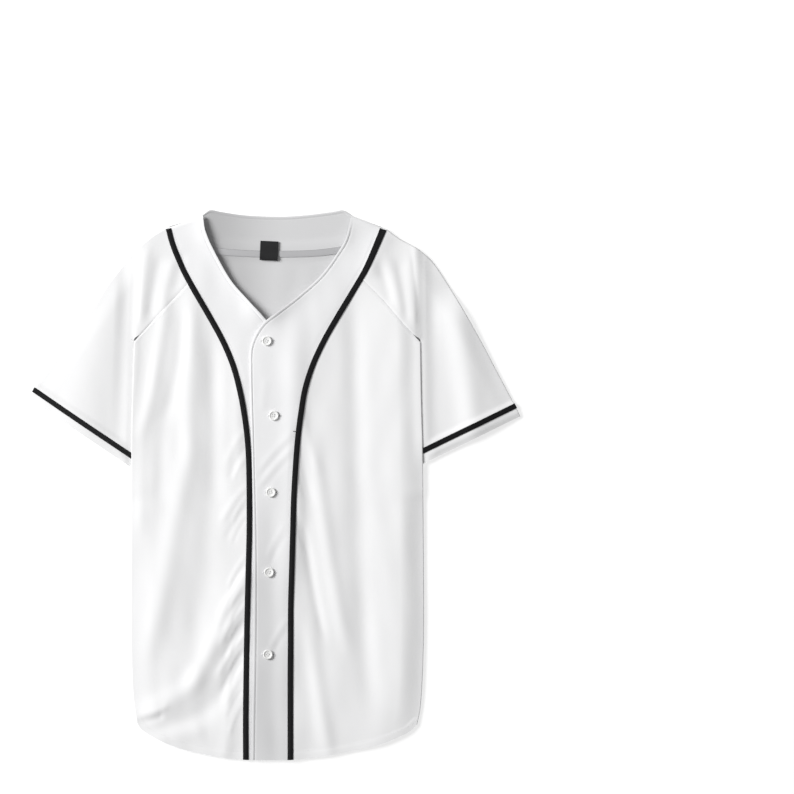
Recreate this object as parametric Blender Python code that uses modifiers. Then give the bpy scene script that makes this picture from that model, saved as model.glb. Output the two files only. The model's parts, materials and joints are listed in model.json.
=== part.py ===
"""Short-sleeved baseball jersey laid flat on its back, front upwards, all sizes in millimetres.

X runs across the front to the viewer's right, Y runs from the hem to the neck, Z is up from the
floor. Left and right in names are the viewer's left and right of the front. Every cloth piece is
an open sheet on a grid of points, given its wall by a Solidify modifier.
"""
import math

import bmesh
import bpy
import numpy as np

MM = 0.001
CLOTH = 1.0
BRAID = 1.2
GAP = 0.3
SEAM = 0.22
BRAID_HALF = 3.4
ON_CLOTH = CLOTH / 2 + GAP + BRAID / 2
TO_CENTRE = (1.35, 0.08)
COLLECTION = "baseball_jersey"

# Middle lines of the cloth above the floor
FLOOR_LAYER = CLOTH / 2
INNER_BACK = FLOOR_LAYER + CLOTH + GAP
INNER_FRONT = INNER_BACK + CLOTH + GAP
OVER_SLEEVE = INNER_FRONT + CLOTH + GAP
FRONT_BASE = 6.2
OVER_LIFT = 1.9

# Placket and neck band on the viewer's left, hem to shoulder: braid line, then hidden neck edge
UNDER_BAND = [
    # braid_x, braid_y, edge_x, edge_y
    (-41.5, -379.6, 13.8, -379.6),
    (-41.5, -316.7, 13.8, -316.7),
    (-40.8, -266.9, 13.8, -266.9),
    (-40.1, -217.1, 13.8, -217.1),
    (-39.1, -167.3, 13.8, -167.3),
    (-37.8, -117.6, 13.8, -117.6),
    (-36.6, -67.8, 13.8, -67.8),
    (-36.5, -18.0, 13.8, -18.0),
    (-37.3, 31.8, 13.8, 34.6),
    (-39.4, 65.0, 13.8, 73.3),
    (-43.6, 98.2, 13.8, 114.8),
    (-49.8, 131.4, 13.0, 156.3),
    (-58.8, 164.6, 5.5, 197.8),
    (-72.6, 197.8, -12.4, 226.8),
    (-90.6, 231.0, -38.0, 255.2),
    (-109.9, 264.2, -61.5, 282.1),
    (-127.9, 297.3, -80.9, 315.3),
    (-141.8, 330.5, -96.1, 347.8),
    (-148.7, 355.4, -100.8, 372.0),
]

# Placket and neck band on the viewer's right, which laps over the other one
OVER_BAND = [
    # braid_x, braid_y, edge_x, edge_y
    (20.1, -379.6, -33.2, -379.6),
    (20.1, -316.7, -32.4, -316.7),
    (20.1, -266.9, -31.5, -266.9),
    (20.5, -217.1, -30.8, -217.1),
    (20.7, -167.3, -30.4, -161.8),
    (22.1, -117.6, -30.4, -106.5),
    (23.5, -67.8, -31.1, -48.4),
    (24.9, -18.0, -32.4, 13.8),
    (27.7, 31.8, -33.7, 76.1),
    (30.4, 65.0, -34.7, 117.6),
    (34.6, 98.2, -35.4, 159.0),
    (40.1, 131.4, -33.9, 193.6),
    (50.5, 164.6, -19.4, 221.3),
    (65.7, 197.8, 2.8, 239.3),
    (84.4, 231.0, 30.4, 260.7),
    (104.4, 264.2, 62.2, 289.7),
    (123.8, 297.3, 85.1, 320.9),
    (138.3, 330.5, 96.8, 341.6),
    (148.0, 354.7, 104.1, 372.0),
]

# Outlines as points across and up
SIDE = {
    -1: [(-192.2, -327.8), (-197.8, -283.5), (-199.8, -214.4), (-199.8, -103.7), (-199.2, 34.6),
         (-197.8, 117.6), (-195.0, 199.2)],
    1: [(195.0, -330.5), (200.5, -297.3), (204.0, -214.4), (204.0, -103.7), (202.6, 34.6),
        (200.5, 117.6), (199.2, 197.8)],
}
HEM = {
    -1: [(-41.5, -379.6), (-70.5, -376.9), (-105.1, -370.6), (-132.8, -363.7), (-160.4, -352.7),
         (-183.9, -338.8), (-192.2, -327.8)],
    1: [(20.1, -379.6), (60.9, -375.5), (102.3, -367.9), (143.8, -358.2), (171.5, -347.1),
        (185.3, -340.2), (195.0, -330.5)],
}
RAGLAN = {
    -1: [(-119.0, 281.0), (-143.8, 254.5), (-171.5, 225.4), (-195.0, 199.2)],
    1: [(117.3, 286.3), (146.6, 257.2), (174.3, 225.4), (199.2, 197.8)],
}
BACK_RAGLAN = {
    -1: [(-131.0, 340.6), (-151.0, 306.0), (-176.0, 266.0), (-199.3, 226.0)],
    1: [(131.0, 341.2), (151.0, 306.0), (176.0, 266.0), (199.9, 226.0)],
}
SLEEVE_OUTER = {
    -1: [(-340.2, 119.5), (-331.9, 135.5), (-312.6, 163.2), (-296.0, 185.3), (-279.4, 207.4),
         (-261.4, 231.0), (-247.6, 251.7), (-235.1, 272.5), (-218.5, 294.6), (-201.9, 315.5),
         (-188.1, 329.2), (-170.1, 344.4), (-149.4, 356.8)],
    1: [(337.5, 95.0), (330.5, 109.3), (308.4, 151.0), (285.5, 194.6), (262.5, 235.9),
        (239.7, 273.8), (223.5, 299.0), (212.2, 313.0), (201.9, 321.5), (193.6, 327.8),
        (170.8, 340.2), (150.8, 355.2)],
}
SLEEVE_INNER = {
    -1: [(-176.0, 8.0), (-174.0, 60.0), (-173.0, 120.0), (-173.0, 186.0)],
    1: [(180.0, 18.0), (178.0, 60.0), (177.0, 120.0), (177.0, 186.0)],
}
NECK_SEAM = [(-148.9, 355.3), (-138.3, 344.4), (-121.7, 336.1), (-94.0, 329.2), (-49.8, 325.0),
             (1.4, 323.6), (53.9, 325.0), (95.4, 330.5), (123.1, 337.5), (138.3, 345.8),
             (148.3, 354.4)]
NECK_TOP = [(-119.0, 366.0), (-104.0, 371.4), (-97.5, 376.0), (-89.5, 380.0), (-73.3, 377.0), (-39.0, 372.4),
            (6.9, 370.9), (41.2, 372.9), (77.4, 377.4), (92.0, 379.8), (100.5, 376.0),
            (107.3, 371.4), (122.0, 365.3)]

# Folds of the front as soft ridges, or troughs where the height is below nothing
FRONT_FOLDS = [
    # start_x, start_y, end_x, end_y, bow, half_width, height
    (-178.0, 330.0, -176.0, -60.0, 0.0, 13.0, 2.2),
    (-150.0, 250.0, -156.0, -40.0, 3.0, 13.0, -2.0),
    (-112.0, 240.0, -128.0, -60.0, -8.0, 15.0, 3.4),
    (-128.0, -60.0, -178.0, -290.0, 6.0, 16.0, 3.6),
    (-76.0, 150.0, -90.0, -60.0, -6.0, 13.0, -2.6),
    (-90.0, -60.0, -126.0, -240.0, 8.0, 15.0, -2.6),
    (-52.0, 70.0, -62.0, -70.0, 0.0, 10.0, 2.0),
    (-44.0, -90.0, -190.0, -292.0, 34.0, 15.0, 3.6),
    (-60.0, -190.0, -186.0, -326.0, 26.0, 13.0, -2.6),
    (-50.0, -210.0, -96.0, -330.0, 8.0, 9.0, 2.2),
    (-150.0, -345.0, -70.0, -352.0, -6.0, 16.0, 1.8),
    (-66.0, 60.0, -92.0, 10.0, 4.0, 6.0, -1.0),
    (-46.0, -130.0, -84.0, -200.0, 4.0, 5.0, -1.4),
    (-46.0, -160.0, -80.0, -240.0, 4.0, 5.0, 1.4),
    (76.0, 120.0, 92.0, -250.0, -8.0, 14.0, 3.2),
    (36.0, 20.0, 74.0, -210.0, -10.0, 9.0, 2.4),
    (34.0, -60.0, 60.0, -260.0, -6.0, 7.0, -2.0),
    (112.0, 250.0, 122.0, -280.0, -4.0, 16.0, -3.0),
    (152.0, 250.0, 160.0, -300.0, 6.0, 22.0, 3.4),
    (44.0, -190.0, 66.0, -372.0, 4.0, 12.0, 2.8),
    (92.0, -250.0, 100.0, -368.0, 0.0, 12.0, -2.0),
    (176.0, -250.0, 140.0, -348.0, 6.0, 14.0, 1.6),
    (-60.0, 210.0, -96.0, 372.0, -6.0, 16.0, 2.2),
    (-20.0, 226.0, -104.0, 372.0, -6.0, 12.0, 2.6),
    (-6.0, 238.0, 106.0, 372.0, -12.0, 12.0, 2.6),
    (-140.0, 320.0, -182.0, 250.0, 0.0, 10.0, 1.6),
    (140.0, 320.0, 184.0, 250.0, 0.0, 10.0, 1.6),
    (-30.0, 190.0, -31.0, -370.0, 0.0, 14.0, 1.2),
    (8.0, 60.0, -22.0, 10.0, 0.0, 6.0, 0.9),
    (2.0, 40.0, -24.0, -6.0, 0.0, 5.0, -0.9),
]

# Folds of the sleeves, which run down from the shoulder to the cuff
SLEEVE_FOLDS = {
    -1: [
        # start_x, start_y, end_x, end_y, bow, half_width, height
        (-206.0, 300.0, -262.0, 80.0, 8.0, 17.0, 3.6),
        (-224.0, 280.0, -300.0, 112.0, 4.0, 14.0, 2.2),
        (-205.0, 250.0, -222.0, 60.0, 0.0, 9.0, 1.6),
    ],
    1: [
        (214.0, 290.0, 262.0, 70.0, -6.0, 15.0, 4.2),
        (228.0, 270.0, 300.0, 100.0, -4.0, 16.0, 3.0),
        (216.0, 260.0, 226.0, 70.0, 0.0, 7.0, -0.8),
    ],
}

# Buttons from the neck down: middle of each on the front
BUTTONS = [(-12.4, 199.2), (-2.8, 96.1), (-6.9, -9.7), (-9.4, -120.3), (-11.1, -233.7)]
BUTTON_PROFILE = [
    # radius, height
    (0.0, 0.0),
    (4.2, 0.0),
    (6.2, 0.7),
    (6.75, 1.4),
    (6.5, 2.1),
    (5.6, 2.5),
    (4.7, 2.2),
    (4.2, 1.7),
    (0.0, 1.7),
]
BUTTON_HOLE_RADIUS = 0.75
BUTTON_HOLE_SPACING = 1.35
LABEL = {"middle": (-9.4, 323.8), "width": 25.0, "height": 26.5, "turn": -2.5}
TAPE_WIDTH = 8.5
SHOULDER_FOLD = 4.2
PANEL_ROWS = 30
PANEL_COLS = 12
LOW_ROWS = 6
HIGH_ROWS = 8

# Middle of the cuff braids above the cuff hem, and how far the hidden edge leans from square to it
CUFF_BRAID = {-1: 13.5, 1: 16.0}
CUFF_LEAN = {-1: 0.85, 1: 0.9}
CUFF_BRAID_LINE = {
    -1: [(-333.3, 130.0), (-266.9, 85.7), (-200.5, 41.5), (-172.0, 22.5)],
    1: [(332.6, 106.5), (268.0, 76.0), (203.3, 45.6), (176.0, 32.7)],
}

COLOURS = {
    "white_knit": ((0.86, 0.86, 0.87), 0.85),
    "white_band": ((0.84, 0.84, 0.85), 0.8),
    "black_braid": ((0.012, 0.012, 0.014), 0.7),
    "neck_tape": ((0.78, 0.78, 0.79), 0.85),
    "black_label": ((0.02, 0.02, 0.022), 0.75),
    "white_button": ((0.88, 0.88, 0.87), 0.3),
}


def smooth(low, high, value):
    """Soft step from nothing at low to one at high."""
    t = np.clip((np.asarray(value, float) - low) / (high - low), 0.0, 1.0)
    return t * t * (3.0 - 2.0 * t)


def curve(points):
    """Smooth line through points, as a function of the share of its length."""
    pts = np.array(points, float)
    ends = np.vstack([2 * pts[0] - pts[1], pts, 2 * pts[-1] - pts[-2]])
    dense = []
    for i in range(1, len(ends) - 2):
        a, b, c, d = ends[i - 1:i + 3]
        for t in np.linspace(0.0, 1.0, 24, endpoint=False):
            dense.append(0.5 * (2 * b + (c - a) * t + (2 * a - 5 * b + 4 * c - d) * t ** 2
                                + (3 * b - a - 3 * c + d) * t ** 3))
    dense.append(pts[-1])
    dense = np.array(dense)
    length = np.concatenate([[0.0], np.cumsum(np.linalg.norm(np.diff(dense[:, :2], axis=0), axis=1))])
    share = length / length[-1]

    def at(t):
        return np.stack([np.interp(t, share, dense[:, k]) for k in range(dense.shape[1])], axis=-1)

    at.dense = dense
    at.length = length[-1]
    at.share = share
    return at


def share_at(line, axis, value):
    """Share of a line's length at which one of its coordinates reaches a value."""
    nearest = int(np.argmin(np.abs(line.dense[:, axis] - value)))
    return float(line.share[nearest])


def moved(points, distance, side):
    """Points of a line moved sideways in the plane of the floor."""
    along = np.gradient(points, axis=0)
    along /= np.linalg.norm(along, axis=1, keepdims=True)
    across = np.stack([along[:, 1], -along[:, 0]], axis=1)
    return points + across * distance * side


def distance_to(line, x, y):
    """Distance of each place from a line."""
    flat = np.stack([np.ravel(x), np.ravel(y)], axis=1)
    samples = line.dense[::2, :2]
    gaps = np.linalg.norm(flat[:, None, :] - samples[None, :, :], axis=2).min(axis=1)
    return gaps.reshape(np.shape(x))


def fold_height(table, x, y):
    """Sum of all the soft folds of a table at each place."""
    total = np.zeros(np.shape(x))
    for x1, y1, x2, y2, bow, half_width, height in table:
        run = math.hypot(x2 - x1, y2 - y1)
        ux, uy = (x2 - x1) / run, (y2 - y1) / run
        t = ((x - x1) * ux + (y - y1) * uy) / run
        inside = np.clip(t, 0.0, 1.0)
        off = (x - x1) * uy - (y - y1) * ux - bow * 4.0 * inside * (1.0 - inside)
        beyond = np.maximum(np.abs(t - 0.5) - 0.5, 0.0) * run
        fade = smooth(-0.12, 0.16, t) * smooth(1.12, 0.84, t)
        total = total + height * np.exp(-(off / half_width) ** 2) * fade * np.exp(-(beyond / 30.0) ** 2)
    return total


SIDE_LINE = {side: curve(SIDE[side]) for side in (-1, 1)}
NECK_LINE = curve(NECK_SEAM)
CUFF_LINE = {side: curve(CUFF_BRAID_LINE[side]) for side in (-1, 1)}
NECK_LOW = share_at(NECK_LINE, 0, BACK_RAGLAN[-1][0][0])
NECK_HIGH = share_at(NECK_LINE, 0, BACK_RAGLAN[1][0][0])
NECK_SHARES = np.concatenate([
    [0.0, 0.006, 0.016, 0.03, 0.05],
    np.linspace(NECK_LOW, NECK_HIGH, 21),
    [0.95, 0.97, 0.984, 0.994, 1.0],
])


def inside_side(side, x, y):
    """How far a place lies inside the body's side edge."""
    line = SIDE_LINE[side].dense
    edge = np.interp(y, line[:, 1], line[:, 0])
    return (edge - x) * side


def round_edge(distance, radius):
    """Rise of a rolled edge: nothing at the edge, one beyond its radius."""
    t = np.clip(distance / radius, 0.0, 1.0)
    return np.sqrt(1.0 - (1.0 - t) ** 2)


def lowest_front(x, y):
    """Lowest middle line for the front cloth: over the back, or over the sleeve tucked between."""
    near_side = np.minimum(inside_side(-1, x, y), inside_side(1, x, y))
    sleeve_under = smooth(40.0, 29.0, near_side) * smooth(-25.0, -5.0, y) * smooth(-14.0, -2.0, near_side + 8.0)
    level = INNER_BACK + 0.15 + (OVER_SLEEVE - INNER_BACK) * sleeve_under
    return level


def front_height(x, y, over=False):
    """Middle of the front cloth above the floor."""
    x = np.asarray(x, float)
    y = np.asarray(y, float)
    level = FRONT_BASE + fold_height(FRONT_FOLDS, x, y)
    level = level - 1.6 * smooth(-330.0, -378.0, y)
    lowest = lowest_front(x, y)
    room = np.maximum(level - lowest, 0.0)
    level = lowest + np.sqrt(room ** 2 + 0.16) - 0.1
    if over:
        level = level + OVER_LIFT * smooth(52.0, 17.0, x)
    return level


def panel_height(side):
    """Middle of a front panel, rolled down to the layer below at the body's side."""
    def height(x, y):
        edge = lowest_front(x, y) - 0.1
        level = front_height(x, y, over=side > 0)
        return edge + (level - edge) * round_edge(inside_side(side, x, y), 7.0)
    return height


def back_height(x, y):
    """Middle of the back cloth: on the floor, raised where the neck braid lies beneath it."""
    return FLOOR_LAYER + (BRAID + GAP) * smooth(17.0, 5.0, distance_to(NECK_LINE, x, y))


def normals(grid):
    """Upward unit normal at each point of a grid."""
    down = np.gradient(grid, axis=0)
    across = np.gradient(grid, axis=1)
    n = np.cross(across, down)
    n /= np.linalg.norm(n, axis=2, keepdims=True)
    return n


def coons(u, v, start, end, first, last):
    """Places filled in between four border lines, each given for the shares it is asked at."""
    u3 = u[..., None]
    v3 = v[..., None]
    corner_a, corner_b = start(np.array([0.0, 1.0]))
    corner_c, corner_d = end(np.array([0.0, 1.0]))
    corners = ((1 - u3) * (1 - v3) * corner_a + u3 * (1 - v3) * corner_b
               + (1 - u3) * v3 * corner_c + u3 * v3 * corner_d)
    return (1 - u3) * first + u3 * last + (1 - v3) * start(u) + v3 * end(u) - corners


def part_of(line, low, high):
    """A stretch of a line between two shares, as a line of its own."""
    return lambda t: line(low + (high - low) * np.asarray(t))[..., :2]


def polyline(points):
    """Smooth line through an array of points."""
    return curve([tuple(p) for p in points])


def raise_grid(flat, height):
    """Adds a height to a grid of places."""
    z = height(flat[..., 0], flat[..., 1])
    return np.dstack([flat[..., 0], flat[..., 1], z])


def material(name):
    """Plain Principled material of one colour."""
    made = bpy.data.materials.get(name)
    if made is None:
        made = bpy.data.materials.new(name)
        made.use_nodes = True
        colour, rough = COLOURS[name]
        shader = made.node_tree.nodes["Principled BSDF"]
        shader.inputs["Base Color"].default_value = (*colour, 1.0)
        shader.inputs["Roughness"].default_value = rough
        made.diffuse_color = (*colour, 1.0)
    return made


def link(obj, slot):
    """Puts an object in the jersey's collection with its material."""
    obj.data.materials.append(material(slot))
    bpy.data.collections[COLLECTION].objects.link(obj)
    return obj


def cloth_object(name, grid, slot, wall=CLOTH):
    """Sheet from a grid of middle points, with its wall from a Solidify modifier."""
    rows, cols = grid.shape[:2]
    places = grid.reshape(-1, 3) + np.array([*TO_CENTRE, 0.0])
    faces = []
    for i in range(rows - 1):
        for j in range(cols - 1):
            a = i * cols + j
            faces.append((a, a + 1, a + cols + 1, a + cols))
    mesh = bpy.data.meshes.new(name)
    mesh.from_pydata([tuple(p) for p in places * MM], [], faces)
    mesh.shade_smooth()
    obj = bpy.data.objects.new(name, mesh)
    thick = obj.modifiers.new("wall", "SOLIDIFY")
    thick.thickness = wall * MM
    thick.offset = 0.0
    thick.use_even_offset = False
    return link(obj, slot)


def panel_grid(side, both, rows, cols):
    """Front panel from its braid seam to the body's side, hem to raglan seam."""
    end = share_at(both, 1, RAGLAN[side][0][1])
    shares = np.linspace(0.0, end, rows)
    seam = both(shares)[:, :2]
    seam[-1] = RAGLAN[side][0]
    raglan = polyline(moved(curve(RAGLAN[side])(np.linspace(0.0, 1.0, 9)), SEAM, side))
    hem = curve(HEM[side])
    seam_edge = moved(seam, SEAM, side)
    first = moved(seam, BRAID_HALF, side)
    seam_edge[-1] = raglan(SEAM / raglan.length)
    first[-1] = raglan(BRAID_HALF / raglan.length)
    seam_edge[0] = hem(SEAM / hem.length)
    first[0] = hem(BRAID_HALF / hem.length)
    outer = SIDE_LINE[side](np.linspace(0.0, 1.0, rows))
    outer[-1] = raglan(1.0)
    spread = np.concatenate([np.linspace(0.0, 0.94, cols), [0.965, 0.985, 0.994, 1.0]])
    u = np.tile(spread, (rows, 1))
    v = np.tile((shares / end)[:, None], (1, len(spread)))
    body = coons(u, v, part_of(hem, BRAID_HALF / hem.length, 1.0),
                 part_of(raglan, BRAID_HALF / raglan.length, 1.0), first[:, None], outer[:, None])
    return np.concatenate([seam_edge[:, None], body], axis=1), shares


def sleeve_rows(side, lengths, armhole):
    """Shares of a sleeve's outer and inner edges for its rows, cuff to neck, one at the armhole."""
    centre = CUFF_BRAID[side]
    lean = CUFF_LEAN[side]
    outer_length, inner_length = lengths
    near_cuff = np.array([0.0, centre - BRAID_HALF, centre, centre + BRAID_HALF])
    up_outer = np.concatenate([np.linspace(30.0, 0.4 * outer_length, LOW_ROWS), [0.47 * outer_length],
                               np.linspace(0.54 * outer_length, outer_length - 10.0, HIGH_ROWS)])
    up_inner = np.concatenate([np.linspace(30.0, armhole[0], LOW_ROWS), [armhole[1]],
                               np.linspace(armhole[1] + 9.0, inner_length - 10.0, HIGH_ROWS)])
    top = np.array([BRAID_HALF, 0.0])
    outer = np.concatenate([near_cuff, up_outer, outer_length - top]) / outer_length
    inner = np.concatenate([near_cuff / lean, up_inner, inner_length - top]) / inner_length
    return outer, inner


def cuff_bump(side, x, y):
    """One over the back of a cuff's braid, where both layers of the sleeve are pushed up."""
    return smooth(14.0, 5.5, distance_to(CUFF_LINE[side], x, y)) * smooth(-4.0, -20.0, inside_side(side, x, y))


def sleeve_front_height(side):
    """Middle of a sleeve's front layer: low beside the body, up on the body's front at the shoulder."""
    def height(x, y):
        inside = inside_side(side, x, y)
        low = INNER_FRONT + 0.9 * smooth(0.0, -10.0, inside) + (BRAID + GAP + 0.3) * cuff_bump(side, x, y)
        low = low + fold_height(SLEEVE_FOLDS[side], x, y) * smooth(-3.0, -16.0, inside)
        step = smooth(-1.0, 4.0, inside) * smooth(200.0, 206.0, y)
        return low + (front_height(x, y) - low) * step
    return height


def sleeve_back_height(side):
    """Middle of a sleeve's back layer: on the floor, tucked over the back panel below the armhole."""
    def height(x, y):
        tucked = smooth(-26.0, -13.0, inside_side(side, x, y)) * smooth(264.0, 242.0, y)
        level = back_height(x, y) + (INNER_BACK - FLOOR_LAYER) * tucked
        return level + (BRAID + GAP + 0.3) * cuff_bump(side, x, y)
    return height


def sleeve_grid(side, both):
    """Sleeve as one sheet: hidden inner edge, back layer, outer fold, front layer, inner edge."""
    outer_line = curve(SLEEVE_OUTER[side])
    hidden = curve(SLEEVE_INNER[side])(np.linspace(0.0, 1.0, 8))
    junction = share_at(both, 1, RAGLAN[side][0][1])
    neck = polyline(moved(both(np.linspace(1.0, junction, 30))[:, :2], SEAM, -side))
    raglan = moved(curve(RAGLAN[side])(np.linspace(0.0, 1.0, 9)), -SEAM, side)[::-1]
    raglan[0] = raglan[0] + np.array([1.8 * side, 1.4])
    raglan[-1] = neck.dense[-1]
    back_raglan = moved(curve(BACK_RAGLAN[side])(np.linspace(0.0, 1.0, 9)), -2.0 * SEAM, side)[::-1]
    back_raglan[0] = back_raglan[0] + np.array([2.4 * side, 0.6])
    if side < 0:
        neck_back = moved(NECK_LINE(np.linspace(0.03, NECK_LOW, 5)), 2.5 * SEAM, 1)
    else:
        neck_back = moved(NECK_LINE(np.linspace(NECK_HIGH, 0.97, 5)), 2.5 * SEAM, 1)[::-1]
    back_raglan[-1] = 0.5 * (back_raglan[-1] + neck_back[-1])
    inner_front = polyline(np.vstack([hidden, raglan]))
    inner_back = polyline(np.vstack([hidden, back_raglan]))
    tuck_end = curve(SLEEVE_INNER[side]).length
    front_hole = tuck_end + float(np.linalg.norm(raglan[0] - hidden[-1]))
    back_hole = tuck_end + float(np.linalg.norm(back_raglan[0] - hidden[-1]))
    rows_out, rows_front = sleeve_rows(side, (outer_line.length, inner_front.length), (tuck_end, front_hole))
    _, rows_back = sleeve_rows(side, (outer_line.length, inner_back.length), (tuck_end, back_hole))
    rows = len(rows_out)
    edge = outer_line(rows_out)
    fold = 1.3 + 1.5 * smooth(190.0, 330.0, edge[:, 1])
    along = np.gradient(edge, axis=0)
    along /= np.linalg.norm(along, axis=1, keepdims=True)
    inward = np.stack([along[:, 1], -along[:, 0]], axis=1) * -side
    shoulder = edge + inward * fold[:, None]
    from_fold = fold[-1] / neck.length
    shoulder[-1] = neck(from_fold)
    cuff = np.array([shoulder[0], hidden[0]])
    cuff_line = polyline(np.linspace(cuff[0], cuff[1], 4))
    v = np.linspace(0.0, 1.0, rows) * 0 + rows_out
    inner = inner_front(rows_front)
    cross = np.interp(edge[:, 1], SIDE_LINE[side].dense[:, 1], SIDE_LINE[side].dense[:, 0])
    reach = (cross - shoulder[:, 0]) / (inner[:, 0] - shoulder[:, 0])
    reach = np.clip(reach, 0.22, 0.78)
    narrow = 2.4 / np.linalg.norm(inner - shoulder, axis=1)
    low, high = reach - narrow, reach + narrow * 1.6
    before = np.linspace(0.0, 1.0, 8)[None, :] * low[:, None]
    after = high[:, None] + np.linspace(0.0, 1.0, 5)[None, :] * (1.0 - high)[:, None]
    u = np.concatenate([before, (0.5 * (low + reach))[:, None], reach[:, None], after], axis=1)
    v2 = np.tile(v[:, None], (1, u.shape[1]))
    front = coons(u, v2, part_of(cuff_line, 0.0, 1.0), part_of(neck, from_fold, 1.0),
                  shoulder[:, None], inner[:, None])
    back_top = polyline(np.vstack([shoulder[-1:], neck_back[:-1], back_raglan[-1:]]))
    back_cols = np.concatenate([np.linspace(0.0, 0.72, 5), [0.8, 0.86, 0.93, 1.0]])
    u_back = np.tile(back_cols, (rows, 1))
    v_back = np.tile(v[:, None], (1, len(back_cols)))
    back = coons(u_back, v_back, part_of(cuff_line, 0.0, 1.0), part_of(back_top, 0.0, 1.0),
                 shoulder[:, None], inner_back(rows_back)[:, None])
    front = raise_grid(front, sleeve_front_height(side))
    back = raise_grid(back, sleeve_back_height(side))
    middle = 0.5 * (front[:, 0, 2] + back[:, 0, 2])
    half = 0.5 * (front[:, 0, 2] - back[:, 0, 2])
    turns = []
    for angle in (-60.0, -25.0, 10.0, 45.0, 70.0):
        out = math.cos(math.radians(angle))
        place = shoulder - inward * (fold * out)[:, None]
        turns.append(np.column_stack([place, middle + half * math.sin(math.radians(angle))]))
    grid = np.concatenate([back[:, ::-1], np.stack(turns, axis=1), front], axis=1)
    shares = 1.0 - (1.0 - junction) * (from_fold + (1.0 - from_fold) * u[-1])
    return grid, shares[::-1], front.shape[1]


def band_grid(side, both, shares, over):
    """Placket and neck band from its braid seam to its neck edge, hem to shoulder."""
    rows = both(shares)
    seam = rows[:, :2]
    edge = rows[:, 2:]
    start = moved(seam, BRAID_HALF, -side)
    start[0] = seam[0] + np.array([-side * BRAID_HALF, 0.0])
    cols = [moved(seam, SEAM, -side)]
    for k in np.linspace(0.0, 1.0, 7):
        cols.append(start + (edge - start) * k)
    grid = raise_grid(np.stack(cols, axis=1), lambda x, y: front_height(x, y, over))
    run = both.length * (1.0 - shares)
    roll = round_edge(run, 4.5)[:, None]
    low = SHOULDER_FOLD + 0.66
    grid[..., 2] = low + (grid[..., 2] - low) * roll
    return grid


def back_panel_grid():
    """Back panel from hem to raglan seams and neck seam."""
    left = np.array([(x + 0.6, y + 2.0) for x, y in SIDE[-1]])
    right = np.array([(x - 0.6, y + 2.0) for x, y in SIDE[1]])
    left = polyline(np.vstack([left, [BACK_RAGLAN[-1][-1]]]))
    right = polyline(np.vstack([right, [BACK_RAGLAN[1][-1]]]))
    hem_points = np.array(HEM[-1][::-1] + HEM[1])
    hem_points = hem_points + np.array([0.0, 3.0])
    hem_points[0] = left(0.0)
    hem_points[-1] = right(0.0)
    hem = polyline(hem_points)
    top = np.vstack([curve(BACK_RAGLAN[-1])(np.linspace(1.0, 0.0, 6))[:-1],
                     NECK_LINE(NECK_SHARES[5:26]),
                     curve(BACK_RAGLAN[1])(np.linspace(0.0, 1.0, 6))[1:]])
    strip = [moved(top, d, 1) for d in (TAPE_WIDTH, BRAID_HALF, SEAM)]
    base = strip[0]
    base[0] = left(1.0) + np.array([0.0, -12.0])
    base[-1] = right(1.0) + np.array([0.0, -12.0])
    strip[1][0] = left(1.0) + np.array([0.0, -5.0])
    strip[1][-1] = right(1.0) + np.array([0.0, -5.0])
    rows = np.linspace(0.0, 1.0, 15)
    cols = np.linspace(0.0, 1.0, len(base))
    u, v = np.meshgrid(cols, rows)
    index = np.arange(len(base)) / (len(base) - 1)

    def along_base(t):
        return np.stack([np.interp(t, index, base[:, k]) for k in (0, 1)], axis=-1)

    sides = [part_of(left, 0.0, 1.0 - 12.0 / left.length), part_of(right, 0.0, 1.0 - 12.0 / right.length)]
    first = sides[0](rows)
    last = sides[1](rows)
    body = coons(u, v, part_of(hem, 0.0, 1.0), along_base, first[:, None], last[:, None])
    flat = np.concatenate([body[:-1], base[None], strip[1][None], strip[2][None]], axis=0)
    return raise_grid(flat, back_height)


def back_band_grid():
    """Back neck band from its seam to its top edge, shoulder to shoulder."""
    shares = NECK_SHARES
    seam = NECK_LINE(shares)
    half = np.minimum(shares, 1.0 - shares)
    warped = 0.5 * (2.0 * half) ** 1.3
    top = curve(NECK_TOP)(np.where(shares < 0.5, warped, 1.0 - warped))
    start = moved(seam, SEAM, -1)
    second = moved(seam, BRAID_HALF, -1)
    rows = [start] + [second + (top - second) * k for k in (0.0, 0.33, 0.67, 1.0)]
    grid = raise_grid(np.stack(rows, axis=0), back_height)
    run = NECK_LINE.length * np.minimum(shares, 1.0 - shares)
    roll = smooth(0.0, 9.0, run)[None, :]
    high = SHOULDER_FOLD - 0.66
    grid[..., 2] = high + (grid[..., 2] - high) * roll
    return grid


def on_top(grid, distance):
    """Points of a sheet moved out along its normals."""
    return grid + normals(grid) * distance


def front_braid_grid(side, panel, band, sleeve, front_cols):
    """Braid over the seam of a front panel, then of the sleeve, against the band."""
    rows = len(panel)
    outer_sleeve = sleeve[-2, -front_cols:][::-1]
    seam_sleeve = sleeve[-1, -front_cols:][::-1]
    outer = np.vstack([panel[:, 1], outer_sleeve[1:]])
    seam = np.vstack([panel[:, 0], seam_sleeve[1:]])
    count = len(outer)
    middle = 0.5 * (seam + band[:count, 0])
    inner = band[:count, 1]
    strip = np.stack([outer, middle, inner], axis=1)
    if side > 0:
        strip = strip[:, ::-1]
    return strip


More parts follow.
